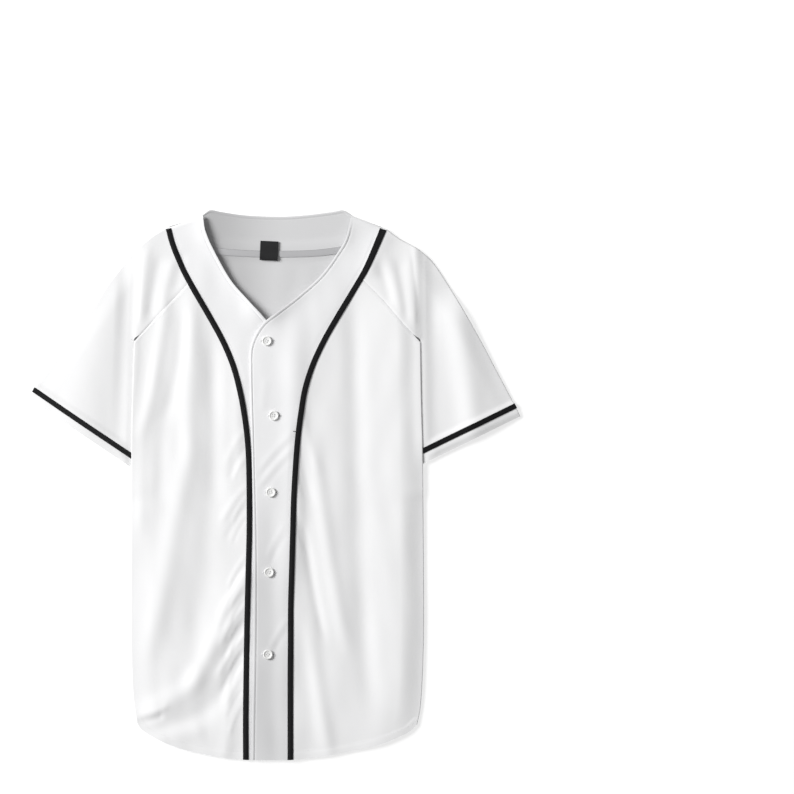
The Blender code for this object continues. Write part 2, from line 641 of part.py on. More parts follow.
def cuff_braid_grid(side, strip):
    """Braid round a cuff, from near the armhole at the back round the fold to the body's front edge."""
    if side > 0:
        strip = strip[:, ::-1]
    rows = []
    for row in strip:
        inside = inside_side(side, row[:, 0], row[:, 1])
        turn = int(np.argmin(inside))
        back = [k for k in range(turn) if inside[k] < -21.0]
        front = [k for k in range(turn, len(row)) if inside[k] < -1.4]
        first, last = back[0], front[-1]
        start = row[first]
        share = (-0.9 - inside[last]) / (inside[last + 1] - inside[last])
        end = row[last] + (row[last + 1] - row[last]) * share
        rows.append((first, last, start, end))
    first = max(r[0] for r in rows)
    last = min(r[1] for r in rows)
    grid = np.stack([np.vstack([row[first:last + 1], r[3]]) for row, r in zip(strip, rows)], axis=0)
    grid[..., 2] = np.maximum(grid[..., 2], BRAID / 2 + 0.2)
    return grid[:, ::-1] if side > 0 else grid


def button_object(name, middle):
    """Turned button with a rim and four holes, standing on the lapped band."""
    x, y = middle
    reach = 5.0
    slope_x = (front_height(x + reach, y, True) - front_height(x - reach, y, True)) / (2 * reach)
    slope_y = (front_height(x, y + reach, True) - front_height(x, y - reach, True)) / (2 * reach)
    up = np.array([-float(slope_x), -float(slope_y), 1.0])
    up /= np.linalg.norm(up)
    body = bmesh.new()
    ring = [body.verts.new((r * MM, 0.0, z * MM)) for r, z in BUTTON_PROFILE]
    edges = [body.edges.new((a, b)) for a, b in zip(ring[:-1], ring[1:])]
    bmesh.ops.spin(body, geom=ring + edges, cent=(0, 0, 0), axis=(0, 0, 1), angle=math.tau,
                   steps=24, use_merge=True)
    bmesh.ops.remove_doubles(body, verts=body.verts, dist=0.000001)
    bmesh.ops.recalc_face_normals(body, faces=body.faces)
    mesh = bpy.data.meshes.new(name)
    body.to_mesh(mesh)
    body.free()
    mesh.shade_smooth()
    obj = bpy.data.objects.new(name, mesh)
    base = np.array([x, y, float(front_height(x, y, True))]) + up * (CLOTH / 2 + GAP + 0.3)
    base = base + np.array([*TO_CENTRE, 0.0])
    obj.location = tuple(base * MM)
    turn = math.radians(20.0 + 17.0 * x)
    obj.rotation_euler = (math.asin(-up[1]), math.asin(up[0]), turn)
    link(obj, "white_button")
    for k in range(4):
        angle = math.tau * k / 4
        drill = bmesh.new()
        bmesh.ops.create_cone(drill, cap_ends=True, segments=8, radius1=BUTTON_HOLE_RADIUS * MM,
                              radius2=BUTTON_HOLE_RADIUS * MM, depth=8.0 * MM)
        across = BUTTON_HOLE_SPACING * math.sqrt(2.0) * MM
        bmesh.ops.translate(drill, verts=drill.verts,
                            vec=(across * math.cos(angle), across * math.sin(angle), 0.0))
        hole_mesh = bpy.data.meshes.new(name + "_hole")
        drill.to_mesh(hole_mesh)
        drill.free()
        hole = bpy.data.objects.new(name + "_hole_" + str(k + 1), hole_mesh)
        hole.location = obj.location
        hole.rotation_euler = obj.rotation_euler
        hole.hide_render = True
        hole.hide_viewport = True
        bpy.context.scene.collection.objects.link(hole)
        cut = obj.modifiers.new("hole_" + str(k + 1), "BOOLEAN")
        cut.object = hole
        cut.operation = "DIFFERENCE"
        cut.solver = "EXACT"
    return obj


def label_grid():
    """Woven label on the neck tape, hanging onto the back panel."""
    rows, cols = 7, 5
    across = np.linspace(-0.5, 0.5, cols) * LABEL["width"]
    down = np.linspace(-0.5, 0.5, rows) * LABEL["height"]
    u, v = np.meshgrid(across, down)
    turn = math.radians(LABEL["turn"])
    x = LABEL["middle"][0] + u * math.cos(turn) - v * math.sin(turn)
    y = LABEL["middle"][1] + u * math.sin(turn) + v * math.cos(turn)
    step = CLOTH + GAP
    level = back_height(x, y) + step + 0.1 + (step + 0.1) * smooth(17.0, 10.5, distance_to(NECK_LINE, x, y))
    return np.dstack([x, y, level])


def make():
    """Builds every piece of the jersey."""
    bpy.context.scene.collection.children.link(bpy.data.collections.new(COLLECTION))
    names = {-1: "left", 1: "right"}
    tables = {-1: UNDER_BAND, 1: OVER_BAND}
    for side in (-1, 1):
        word = names[side]
        over = side > 0
        both = curve(tables[side])
        flat, shares = panel_grid(side, both, PANEL_ROWS, PANEL_COLS)
        panel = raise_grid(flat, panel_height(side))
        sleeve, sleeve_shares, front_cols = sleeve_grid(side, both)
        run = np.array([1.0 - 1.4 / both.length, 1.0])
        stations = np.concatenate([shares, sleeve_shares[1:], run])
        band = band_grid(side, both, stations, over)
        braid = front_braid_grid(side, panel, band, sleeve, front_cols)
        if side > 0:
            panel_out, band_out, sleeve_out = panel, band[:, ::-1], sleeve[:, ::-1]
        else:
            panel_out, band_out, sleeve_out = panel[:, ::-1], band, sleeve
        cloth_object("front_panel_" + word, panel_out, "white_knit")
        cloth_object("front_band_" + word, band_out, "white_band")
        cloth_object("sleeve_" + word, sleeve_out, "white_knit")
        cloth_object("front_braid_" + word, on_top(braid, ON_CLOTH), "black_braid", BRAID)
        cuff = cuff_braid_grid(side, on_top(sleeve_out[:4], ON_CLOTH)[1:4])
        cloth_object("cuff_braid_" + word, cuff, "black_braid", BRAID)
    back = back_panel_grid()
    cloth_object("back_panel", back, "white_knit")
    cloth_object("neck_band_back", back_band_grid(), "white_band")
    tape = back[-3:, 6:-6]
    cloth_object("neck_tape", on_top(tape, CLOTH + GAP), "neck_tape")
    under = NECK_LINE(np.linspace(0.004, 0.996, 33))
    under_rows = [moved(under, d, -1) for d in (-BRAID_HALF, 0.0, BRAID_HALF)]
    neck_braid = np.stack(under_rows, axis=0)
    neck_braid = np.dstack([neck_braid[..., 0], neck_braid[..., 1],
                            np.full(neck_braid.shape[:2], BRAID / 2)])
    cloth_object("neck_braid_back", neck_braid, "black_braid", BRAID)
    cloth_object("label", label_grid(), "black_label")
    for index, middle in enumerate(BUTTONS):
        button_object("button_" + str(index + 1), middle)


for old in list(bpy.data.objects):
    bpy.data.objects.remove(old, do_unlink=True)
make()
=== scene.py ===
"""Looks of the baseball jersey laid flat on its back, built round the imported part, in millimetres.

X runs across the front to the viewer's right, Y runs from the hem to the neck, Z is up from the
floor. Left and right in names are the viewer's left and right of the front. The cloth is thin
sheets on the part's forms, with finer folds, seams, stitching, braid and buttons.
"""
import json
import math

import bmesh
import bpy
import numpy as np
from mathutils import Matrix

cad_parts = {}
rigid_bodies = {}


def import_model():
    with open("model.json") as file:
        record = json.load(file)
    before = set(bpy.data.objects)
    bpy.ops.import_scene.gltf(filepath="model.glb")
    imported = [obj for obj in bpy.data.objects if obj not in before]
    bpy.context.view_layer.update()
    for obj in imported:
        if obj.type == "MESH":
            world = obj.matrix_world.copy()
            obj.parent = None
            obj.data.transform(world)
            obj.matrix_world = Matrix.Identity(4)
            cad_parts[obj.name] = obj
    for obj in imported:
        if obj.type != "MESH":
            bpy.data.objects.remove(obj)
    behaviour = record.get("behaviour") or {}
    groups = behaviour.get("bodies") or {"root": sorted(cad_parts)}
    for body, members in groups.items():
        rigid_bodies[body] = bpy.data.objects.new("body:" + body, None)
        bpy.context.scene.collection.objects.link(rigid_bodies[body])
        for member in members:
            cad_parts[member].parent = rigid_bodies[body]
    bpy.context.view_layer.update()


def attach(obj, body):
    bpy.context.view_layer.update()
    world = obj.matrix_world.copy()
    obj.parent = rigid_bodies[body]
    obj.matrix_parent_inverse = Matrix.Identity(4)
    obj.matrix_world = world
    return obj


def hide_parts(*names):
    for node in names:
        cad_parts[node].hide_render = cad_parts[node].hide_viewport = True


for old in list(bpy.data.objects):
    bpy.data.objects.remove(old, do_unlink=True)
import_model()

MM = 0.001
CLOTH = 0.9
CAD_CLOTH = 1.0
BRAID = 0.8
CAD_BRAID = 1.2
GAP = 0.3
SEAM = 0.12
BRAID_HALF = 3.4
BRAID_RIDGE = 0.3
BRAID_GROOVE = 0.12
ON_CLOTH = CLOTH / 2 + 0.06 + BRAID / 2
TO_CENTRE = np.array([1.35, 0.08, 0.0])

# Middle lines of the cloth above the floor
FLOOR_LAYER = CAD_CLOTH / 2
INNER_BACK = FLOOR_LAYER + CAD_CLOTH + GAP
INNER_FRONT = INNER_BACK + CAD_CLOTH + GAP
OVER_SLEEVE = INNER_FRONT + CAD_CLOTH + GAP
BRAID_ROOM = CAD_BRAID + GAP
FRONT_BASE = 6.6
OVER_LIFT = 1.9

# Share of the heights in the tables that the folds and the creases keep
FOLD_SCALE = 0.84
CREASE_SCALE = 0.75

# Share of its height that the front keeps at the body's side, where its edge then rolls down
EDGE_SHARE = {-1: 0.5, 1: 0.34}
EDGE_REACH = 32.0
EDGE_ROLL = 0.6

# Sewing: distances of the stitch lines from their edges, and the size of the stitches
HEM_DEPTH = 9.6
BAND_STITCH_IN = 3.2
STITCH = {"step": 3.1, "length": 2.5, "radius": 0.2}
FINE_STITCH = {"step": 2.6, "length": 2.1, "radius": 0.16}
STITCH_LIFT = CLOTH / 2 + 0.02

# Rolled rims: distance of the ridge and of the sewn groove from the neck edge, and their half widths
RIM_RIDGE = (1.7, 1.5)
RIM_GROOVE = (4.3, 0.7)
SOFT_GROOVE = (4.3, 0.8)

# Grid sizes: of a panel, of a sleeve below and above its armhole, and at the armhole
PANEL_ROWS = 240
PANEL_COLS = 90
LOW_ROWS = 52
HIGH_ROWS = 46
HOLE_ROWS = 9

# Light and camera, in degrees, metres and watts
KEY_AZIMUTH = 158.0
KEY_ELEVATION = 36.0
KEY_DISTANCE = 7.0
KEY_SIZE = 3.4
KEY_POWER = 600.0
FILL = 0.3
FLOOR_GREY = 0.4
FLOOR_GLOW = 0.68
CAMERA_HEIGHT = 5.0
SENSOR = 36.0
FRAME_WIDTH = 1.098
FRAME_CENTRE = (0.1687, 0.1218)

# Placket and neck band on the viewer's left, hem to shoulder: braid line, then hidden neck edge
UNDER_BAND = [
    # braid_x, braid_y, edge_x, edge_y
    (-41.5, -379.6, 13.8, -379.6),
    (-41.5, -316.7, 13.8, -316.7),
    (-40.8, -266.9, 13.8, -266.9),
    (-40.1, -217.1, 13.8, -217.1),
    (-39.1, -167.3, 13.8, -167.3),
    (-37.8, -117.6, 13.8, -117.6),
    (-36.6, -67.8, 13.8, -67.8),
    (-36.5, -18.0, 13.8, -18.0),
    (-37.3, 31.8, 13.8, 34.6),
    (-39.4, 65.0, 13.8, 73.3),
    (-43.6, 98.2, 13.8, 114.8),
    (-49.8, 131.4, 13.0, 156.3),
    (-58.8, 164.6, 5.5, 197.8),
    (-72.6, 197.8, -12.4, 226.8),
    (-90.6, 231.0, -38.0, 255.2),
    (-109.9, 264.2, -61.5, 282.1),
    (-127.9, 297.3, -80.9, 315.3),
    (-141.8, 330.5, -96.1, 347.8),
    (-148.7, 355.4, -100.8, 372.0),
]

# Placket and neck band on the viewer's right, which laps over the other one
OVER_BAND = [
    # braid_x, braid_y, edge_x, edge_y
    (20.1, -379.6, -33.2, -379.6),
    (20.1, -316.7, -32.4, -316.7),
    (20.1, -266.9, -31.5, -266.9),
    (20.5, -217.1, -30.8, -217.1),
    (20.7, -167.3, -30.4, -161.8),
    (22.1, -117.6, -30.4, -106.5),
    (23.5, -67.8, -31.1, -48.4),
    (24.9, -18.0, -32.4, 13.8),
    (27.7, 31.8, -33.7, 76.1),
    (30.4, 65.0, -34.7, 117.6),
    (34.6, 98.2, -35.4, 159.0),
    (40.1, 131.4, -33.9, 193.6),
    (50.5, 164.6, -19.4, 221.3),
    (65.7, 197.8, 2.8, 239.3),
    (84.4, 231.0, 30.4, 260.7),
    (104.4, 264.2, 62.2, 289.7),
    (123.8, 297.3, 85.1, 320.9),
    (138.3, 330.5, 96.8, 341.6),
    (148.0, 354.7, 104.1, 372.0),
]

# Outlines as points across and up
SIDE = {
    -1: [(-192.2, -327.8), (-197.8, -283.5), (-199.8, -214.4), (-199.8, -103.7), (-199.2, 34.6),
         (-197.8, 117.6), (-195.0, 199.2)],
    1: [(195.0, -330.5), (200.5, -297.3), (204.0, -214.4), (204.0, -103.7), (202.6, 34.6),
        (200.5, 117.6), (199.2, 197.8)],
}
HEM = {
    -1: [(-41.5, -379.6), (-70.5, -376.9), (-105.1, -370.6), (-132.8, -363.7), (-160.4, -352.7),
         (-183.9, -338.8), (-192.2, -327.8)],
    1: [(20.1, -379.6), (60.9, -375.5), (102.3, -367.9), (143.8, -358.2), (171.5, -347.1),
        (185.3, -340.2), (195.0, -330.5)],
}
RAGLAN = {
    -1: [(-119.0, 281.0), (-143.8, 254.5), (-171.5, 225.4), (-195.0, 199.2)],
    1: [(117.3, 286.3), (146.6, 257.2), (174.3, 225.4), (199.2, 197.8)],
}
BACK_RAGLAN = {
    -1: [(-131.0, 340.6), (-151.0, 306.0), (-176.0, 266.0), (-199.3, 226.0)],
    1: [(131.0, 341.2), (151.0, 306.0), (176.0, 266.0), (199.9, 226.0)],
}
SLEEVE_OUTER = {
    -1: [(-340.2, 119.5), (-331.9, 135.5), (-312.6, 163.2), (-296.0, 185.3), (-279.4, 207.4),
         (-261.4, 231.0), (-247.6, 251.7), (-235.1, 272.5), (-218.5, 294.6), (-201.9, 315.5),
         (-188.1, 329.2), (-170.1, 344.4), (-149.4, 356.8)],
    1: [(337.5, 95.0), (330.5, 109.3), (308.4, 151.0), (285.5, 194.6), (262.5, 235.9),
        (239.7, 273.8), (223.5, 299.0), (212.2, 313.0), (201.9, 321.5), (193.6, 327.8),
        (170.8, 340.2), (150.8, 355.2)],
}
SLEEVE_INNER = {
    -1: [(-176.0, 8.0), (-174.0, 60.0), (-173.0, 120.0), (-173.0, 186.0)],
    1: [(180.0, 18.0), (178.0, 60.0), (177.0, 120.0), (177.0, 186.0)],
}
NECK_SEAM = [(-148.9, 355.3), (-138.3, 344.4), (-121.7, 336.1), (-94.0, 329.2), (-49.8, 325.0),
             (1.4, 323.6), (53.9, 325.0), (95.4, 330.5), (123.1, 337.5), (138.3, 345.8),
             (148.3, 354.4)]
NECK_TOP = [(-119.0, 366.0), (-104.0, 371.4), (-97.5, 376.0), (-89.5, 380.0), (-73.3, 377.0),
            (-39.0, 372.4), (6.9, 370.9), (41.2, 372.9), (77.4, 377.4), (92.0, 379.8),
            (100.5, 376.0), (107.3, 371.4), (122.0, 365.3)]

# Folds of the front cloth as soft ridges, or troughs where the height is below nothing
FRONT_FOLDS = [
    # start_x, start_y, end_x, end_y, bow, half_width, height
    (-152.0, 256.0, -186.0, 70.0, -4.0, 9.5, 1.9),
    (-186.0, 90.0, -188.0, -60.0, 0.0, 8.5, 1.2),
    (-126.0, 240.0, -152.0, 96.0, -4.0, 10.5, -1.6),
    (-152.0, 110.0, -162.0, -20.0, 0.0, 10.5, -1.2),
    (-116.0, 256.0, -120.0, 28.0, 0.0, 13.5, 2.9),
    (-119.5, 46.0, -173.0, -228.0, 0.0, 15.5, 2.9),
    (-87.0, 216.0, -85.5, -8.0, 0.0, 12.5, -2.4),
    (-85.5, 10.0, -120.0, -228.0, -6.0, 19.0, -2.6),
    (-50.0, 150.0, -46.0, 8.0, 4.0, 9.0, 1.2),
    (-38.0, -118.0, -120.0, -282.0, -4.0, 12.5, 2.9),
    (-98.0, -262.0, -194.0, -316.0, -8.0, 15.0, 3.1),
    (-45.0, -236.0, -186.0, -338.0, -30.0, 14.0, -2.2),
    (-66.0, -284.0, -70.0, -377.0, -3.0, 10.0, 1.5),
    (-100.0, -340.0, -162.0, -352.0, 4.0, 13.0, 1.2),
    (52.0, 62.0, 98.0, -226.0, 3.0, 10.5, 2.4),
    (108.0, 262.0, 112.0, -8.0, 0.0, 15.0, -3.0),
    (112.0, 10.0, 127.0, -296.0, 0.0, 15.5, -2.7),
    (178.0, 276.0, 182.0, -8.0, 0.0, 32.0, 4.6),
    (186.0, 10.0, 182.0, -306.0, 0.0, 35.0, 3.6),
    (38.0, -40.0, 66.0, -210.0, 3.0, 6.5, -1.7),
    (46.0, -190.0, 76.0, -379.0, 2.0, 10.5, 2.1),
    (27.0, 206.0, 21.5, -140.0, 0.0, 15.0, 2.3),
    (62.0, 250.0, 32.0, 120.0, 4.0, 20.0, 1.4),
    (126.0, 290.0, 150.0, 350.0, 0.0, 14.0, 2.4),
]

# Small creases by the braids, on the placket and at the shoulders
FRONT_CREASES = [
    # start_x, start_y, end_x, end_y, bow, half_width, height
    (-40.0, 79.0, -69.0, 29.0, 2.8, 5.0, 0.7),
    (-40.0, 54.0, -64.0, 10.0, 2.8, 4.4, -0.6),
    (-39.0, -1.0, -75.0, -51.0, 2.8, 5.2, 0.9),
    (-39.0, -29.0, -69.0, -76.0, 2.8, 4.9, -0.7),
    (-40.0, -122.0, -78.0, -182.0, 2.8, 5.0, 0.9),
    (-40.0, -146.0, -76.0, -200.0, 2.8, 4.4, -1.0),
    (-41.0, -166.0, -76.0, -220.0, 2.8, 4.7, 1.1),
    (-41.0, -188.0, -72.0, -240.0, 2.8, 4.2, -1.0),
    (-42.0, -206.0, -80.0, -264.0, 2.8, 5.0, 1.2),
    (-43.0, -230.0, -74.0, -284.0, 2.8, 4.4, -1.0),
    (-43.0, -250.0, -72.0, -300.0, 2.8, 5.0, 0.9),
    (-42.0, -98.0, -66.0, -140.0, 2.0, 3.2, 0.6),
    (-42.0, -110.0, -64.0, -150.0, 2.0, 2.8, -0.5),
    (-42.0, -134.0, -62.0, -168.0, 2.0, 2.8, 0.5),
    (-43.0, -158.0, -60.0, -190.0, 2.0, 2.6, -0.5),
    (-43.0, -178.0, -64.0, -212.0, 2.0, 2.8, 0.6),
    (-43.0, -199.0, -60.0, -232.0, 2.0, 2.6, -0.6),
    (-44.0, -220.0, -66.0, -258.0, 2.0, 2.9, 0.6),
    (-44.0, -242.0, -62.0, -276.0, 2.0, 2.8, -0.6),
    (-45.0, -262.0, -68.0, -302.0, 2.0, 3.2, 0.6),
    (-46.0, -282.0, -66.0, -322.0, 2.0, 3.2, -0.6),
    (-46.0, -300.0, -64.0, -344.0, 2.0, 3.4, 0.6),
    (-40.0, 40.0, -58.0, 8.0, 2.0, 3.0, 0.4),
    (-39.0, -14.0, -60.0, -52.0, 2.0, 3.0, 0.5),
    (-39.0, -44.0, -58.0, -80.0, 2.0, 3.0, -0.5),
    (-156.0, -318.0, -190.0, -326.0, -2.0, 5.0, -1.6),
    (-148.0, -304.0, -188.0, -318.0, -2.0, 5.0, 1.0),
    (24.0, 44.0, 40.0, -14.0, 1.4, 3.2, -0.5),
    (26.0, -10.0, 46.0, -70.0, 1.4, 3.6, 0.5),
    (25.0, -36.0, 44.0, -96.0, 1.4, 3.4, -0.5),
    (33.0, 112.0, 58.0, 21.0, 1.4, 6.0, 0.7),
    (29.0, 76.0, 48.0, -21.0, 1.4, 5.4, -0.8),
    (28.0, 21.0, 42.0, -54.0, 1.4, 4.9, 0.7),
    (-32.0, -60.0, -32.0, -379.0, 0.0, 12.0, 1.6),
    (-4.0, -40.0, -2.0, -379.0, 0.0, 12.0, -1.6),
    (23.0, 73.0, -22.0, 23.0, 1.4, 3.9, 0.6),
    (23.0, 61.0, -22.0, 11.0, 1.4, 3.2, -0.5),
    (22.0, 50.0, -23.0, -1.0, 1.4, 3.6, 0.6),
    (19.0, 36.0, -19.0, -11.0, 1.4, 3.2, -0.4),
    (11.0, -57.0, -11.0, -98.0, 1.4, 3.6, 0.5),
    (14.0, -70.0, -7.0, -109.0, 1.4, 3.2, -0.4),
    (17.0, -184.0, -8.0, -225.0, 1.4, 3.8, 0.6),
    (18.0, -198.0, -4.0, -235.0, 1.4, 3.4, -0.4),
    (-14.0, 145.0, -19.0, 104.0, 0.0, 5.5, 0.5),
    (-176.0, 330.0, -187.0, 225.0, 1.4, 7.5, 1.6),
    (-160.0, 314.0, -174.0, 231.0, 1.4, 6.5, -1.2),
    (-142.0, 311.0, -156.0, 248.0, 1.4, 6.5, 1.1),
    (-127.0, 322.0, -138.0, 270.0, 0.0, 6.6, -0.9),
    (152.0, 319.0, 174.0, 236.0, -1.4, 7.5, 1.2),
    (141.0, 308.0, 158.0, 253.0, -1.4, 6.5, -1.0),
    (184.0, 314.0, 191.0, 223.0, 0.0, 6.5, 1.2),
    (169.0, 308.0, 181.0, 225.0, 0.0, 6.0, -0.9),
]

# Lift of the cloth along the neckline, which stands off the back
NECK_LIFT = [
    # start_x, start_y, end_x, end_y, bow, half_width, height
    (-14.0, 231.0, -98.0, 364.0, 5.5, 22.0, 6.0),
    (-11.0, 231.0, 102.0, 364.0, -8.3, 18.0, 4.5),
]

# Folds of the sleeves, which run down from the shoulder to the cuff
SLEEVE_FOLDS = {
    -1: [
        # start_x, start_y, end_x, end_y, bow, half_width, height
        (-224.0, 292.0, -272.0, 56.0, 2.8, 42.0, 5.2),
    ],
    1: [
        # start_x, start_y, end_x, end_y, bow, half_width, height
        (246.0, 262.0, 274.0, 60.0, -2.8, 17.0, 3.2),
        (250.0, 256.0, 286.0, 66.0, -2.8, 30.0, 4.6),
    ],
}

# Lift of the cloth on both sides of the body's edge beside a sleeve
SIDE_RISE = {-1: 2.4, 1: 3.8}

# Folds of the back cloth, as soft upright waves
BACK_FOLDS = [
    # start_x, start_y, end_x, end_y, bow, half_width, height
    (-60.0, 300.0, -20.0, 180.0, 6.0, 16.0, 0.9),
    (10.0, 310.0, 4.0, 200.0, 0.0, 18.0, 0.8),
    (46.0, 300.0, 20.0, 210.0, -4.0, 14.0, 0.7),
]

# Buttons from the neck down: middle of each, and how far it is turned
BUTTONS = [
    # x, y, turn
    (-12.4, 199.2, 15.0),
    (-2.8, 96.1, 38.0),
    (-6.9, -9.7, 62.0),
    (-9.4, -120.3, 28.0),
    (-11.1, -233.7, 8.0),
]
BUTTON_PROFILE = [
    # radius, height
    (0.0, 0.0),
    (4.2, 0.0),
    (5.6, 0.35),
    (6.4, 0.85),
    (6.75, 1.4),
    (6.7, 1.85),
    (6.4, 2.25),
    (5.9, 2.45),
    (5.3, 2.4),
    (4.8, 2.15),
    (4.45, 1.8),
    (4.0, 1.62),
    (3.0, 1.55),
    (0.0, 1.55),
]
BUTTON_HOLE_RADIUS = 0.75
BUTTON_HOLE_SPACING = 1.35
BUTTON_DISH = 1.62
BUTTON_SEAT = CLOTH / 2 + GAP + 0.3
BUTTONHOLE = {"half_length": 8.6, "half_width": 1.15, "slit": 0.32, "step": 0.62, "aside": 1.0}
THREAD_END = (25.8, 74.0)
LABEL = {"middle": (-9.4, 323.8), "width": 25.0, "height": 26.5, "turn": -2.5}
TAPE_WIDTH = 8.5

# Height of the fold at the shoulders, and how far the bands' middles lie above and below it
SHOULDER_FOLD = 4.2
SHOULDER_GAP = 0.66

# Middle of the cuff braids above the cuff hem, and how far the hidden edge leans from square to it
CUFF_BRAID = {-1: 13.5, 1: 16.0}
CUFF_LEAN = {-1: 0.85, 1: 0.9}

# Distances from the body's side at which a cuff braid stops, at the back and at the front
CUFF_STOP = {"back": 21.0, "front": 0.9}
CUFF_BRAID_LINE = {
    -1: [(-333.3, 130.0), (-266.9, 85.7), (-200.5, 41.5), (-172.0, 22.5)],
    1: [(332.6, 106.5), (268.0, 76.0), (203.3, 45.6), (176.0, 32.7)],
}

# Greys of the materials. Those of the inside and of the bands are then replaced by greys graded along the
# garment as painted shade, and the slit's dark grey is painted shade in the buttonhole's cut
COLOURS = {
    "white_knit": (0.86, 0.86, 0.865),
    "white_band": (0.77, 0.77, 0.775),
    "inner_knit_painted_shade": (0.66, 0.66, 0.67),
    "black_braid": (0.006, 0.006, 0.007),
    "neck_tape": (0.47, 0.47, 0.48),
    "black_label": (0.014, 0.014, 0.015),
    "white_button": (0.86, 0.86, 0.85),
    "thread": (0.8, 0.8, 0.81),
    "slit": (0.2, 0.2, 0.2),
}


def smooth(low, high, value):
    """Soft step from nothing at low to one at high."""
    t = np.clip((np.asarray(value, float) - low) / (high - low), 0.0, 1.0)
    return t * t * (3.0 - 2.0 * t)


def bell(value, middle, half_width):
    """Soft bump of height one round a middle value."""
    return np.exp(-((np.asarray(value, float) - middle) / half_width) ** 2)


def curve(points):
    """Smooth line through points, as a function of the share of its length."""
    pts = np.array(points, float)
    ends = np.vstack([2 * pts[0] - pts[1], pts, 2 * pts[-1] - pts[-2]])
    dense = []
    for i in range(1, len(ends) - 2):
        a, b, c, d = ends[i - 1:i + 3]
        for t in np.linspace(0.0, 1.0, 24, endpoint=False):
            dense.append(0.5 * (2 * b + (c - a) * t + (2 * a - 5 * b + 4 * c - d) * t ** 2
                                + (3 * b - a - 3 * c + d) * t ** 3))
    dense.append(pts[-1])
    dense = np.array(dense)
    length = np.concatenate([[0.0], np.cumsum(np.linalg.norm(np.diff(dense[:, :2], axis=0), axis=1))])
    share = length / length[-1]

    def at(t):
        return np.stack([np.interp(t, share, dense[:, k]) for k in range(dense.shape[1])], axis=-1)

    at.dense = dense
    at.length = length[-1]
    at.share = share
    return at


def share_at(line, axis, value):
    """Share of a line's length at which one of its coordinates reaches a value."""
    nearest = int(np.argmin(np.abs(line.dense[:, axis] - value)))
    return float(line.share[nearest])


def moved(points, distance, side):
    """Points of a line moved sideways in the plane of the floor."""
    along = np.gradient(points, axis=0)
    along /= np.linalg.norm(along, axis=1, keepdims=True)
    across = np.stack([along[:, 1], -along[:, 0]], axis=1)
    return points + across * distance * side


def distance_to(line, x, y):
    """Distance of each place from a line, measured square to its short straight stretches."""
    flat = np.stack([np.ravel(x), np.ravel(y)], axis=1)
    samples = line.dense[::3, :2]
    samples = np.vstack([samples, line.dense[-1:, :2]])
    best = np.full(len(flat), 1e9)
    for a, b in zip(samples[:-1], samples[1:]):
        run = b - a
        t = np.clip(((flat - a) @ run) / (run @ run + 1e-12), 0.0, 1.0)
        gap = np.linalg.norm(flat - a - t[:, None] * run, axis=1)
        best = np.minimum(best, gap)
    return best.reshape(np.shape(x))


def fold_height(table, x, y):
    """Sum of all the soft folds of a table at each place."""
    total = np.zeros(np.shape(x))
    for x1, y1, x2, y2, bow, half_width, height in table:
        run = math.hypot(x2 - x1, y2 - y1)
        ux, uy = (x2 - x1) / run, (y2 - y1) / run
        t = ((x - x1) * ux + (y - y1) * uy) / run
        inside = np.clip(t, 0.0, 1.0)
        off = (x - x1) * uy - (y - y1) * ux - bow * 4.0 * inside * (1.0 - inside)
        beyond = np.maximum(np.abs(t - 0.5) - 0.5, 0.0) * run
        fade = smooth(-0.12, 0.16, t) * smooth(1.12, 0.84, t)
        total = total + height * np.exp(-(off / half_width) ** 2) * fade * np.exp(-(beyond / 30.0) ** 2)
    return total


def fine_waves(x, y):
    """Slight unevenness of cloth that was pressed and laid down, from a few seeded long waves."""
    dice = np.random.default_rng(11)
    total = np.zeros(np.shape(x))
    for _ in range(14):
        length = dice.uniform(26.0, 95.0)
        turn = dice.normal(0.0, 0.45)
        phase = dice.uniform(0.0, math.tau)
        bend = dice.uniform(-14.0, 14.0)
        along = x * math.cos(turn) + y * math.sin(turn) + bend * np.sin(y / 130.0 + phase)
        total = total + 0.0012 * length * np.sin(math.tau * along / length + phase)
    return total


SIDE_LINE = {side: curve(SIDE[side]) for side in (-1, 1)}
NECK_LINE = curve(NECK_SEAM)
CUFF_LINE = {side: curve(CUFF_BRAID_LINE[side]) for side in (-1, 1)}
RAGLAN_LINE = {side: curve(RAGLAN[side]) for side in (-1, 1)}
OUTER_LINE = {side: curve(SLEEVE_OUTER[side]) for side in (-1, 1)}
HEM_LINE = {side: curve(HEM[side]) for side in (-1, 1)}
NECK_LOW = share_at(NECK_LINE, 0, BACK_RAGLAN[-1][0][0])
NECK_HIGH = share_at(NECK_LINE, 0, BACK_RAGLAN[1][0][0])
NECK_SHARES = np.concatenate([
    np.linspace(0.0, NECK_LOW, 14)[:-1],
    np.linspace(NECK_LOW, NECK_HIGH, 91),
    np.linspace(NECK_HIGH, 1.0, 14)[1:],
])


def inside_side(side, x, y):
    """How far a place lies inside the body's side edge."""
    line = SIDE_LINE[side].dense
    top = line[-1] + (line[-1] - line[-25]) * 3.0
    edge = np.interp(y, np.append(line[:, 1], top[1]), np.append(line[:, 0], top[0]))
    return (edge - x) * side


def round_edge(distance, radius):
    """Rise of a rolled edge: nothing at the edge, one beyond its radius."""
    t = np.clip(distance / radius, 0.0, 1.0)
    return np.sqrt(1.0 - (1.0 - t) ** 2)


def side_rise(side, inside, y):
    """Lift of the sleeve, and of the front that lies over it, along the body's side edge."""
    return SIDE_RISE[side] * smooth(10.0, 70.0, y) * np.exp(-(np.asarray(inside, float) / 12.5) ** 2)


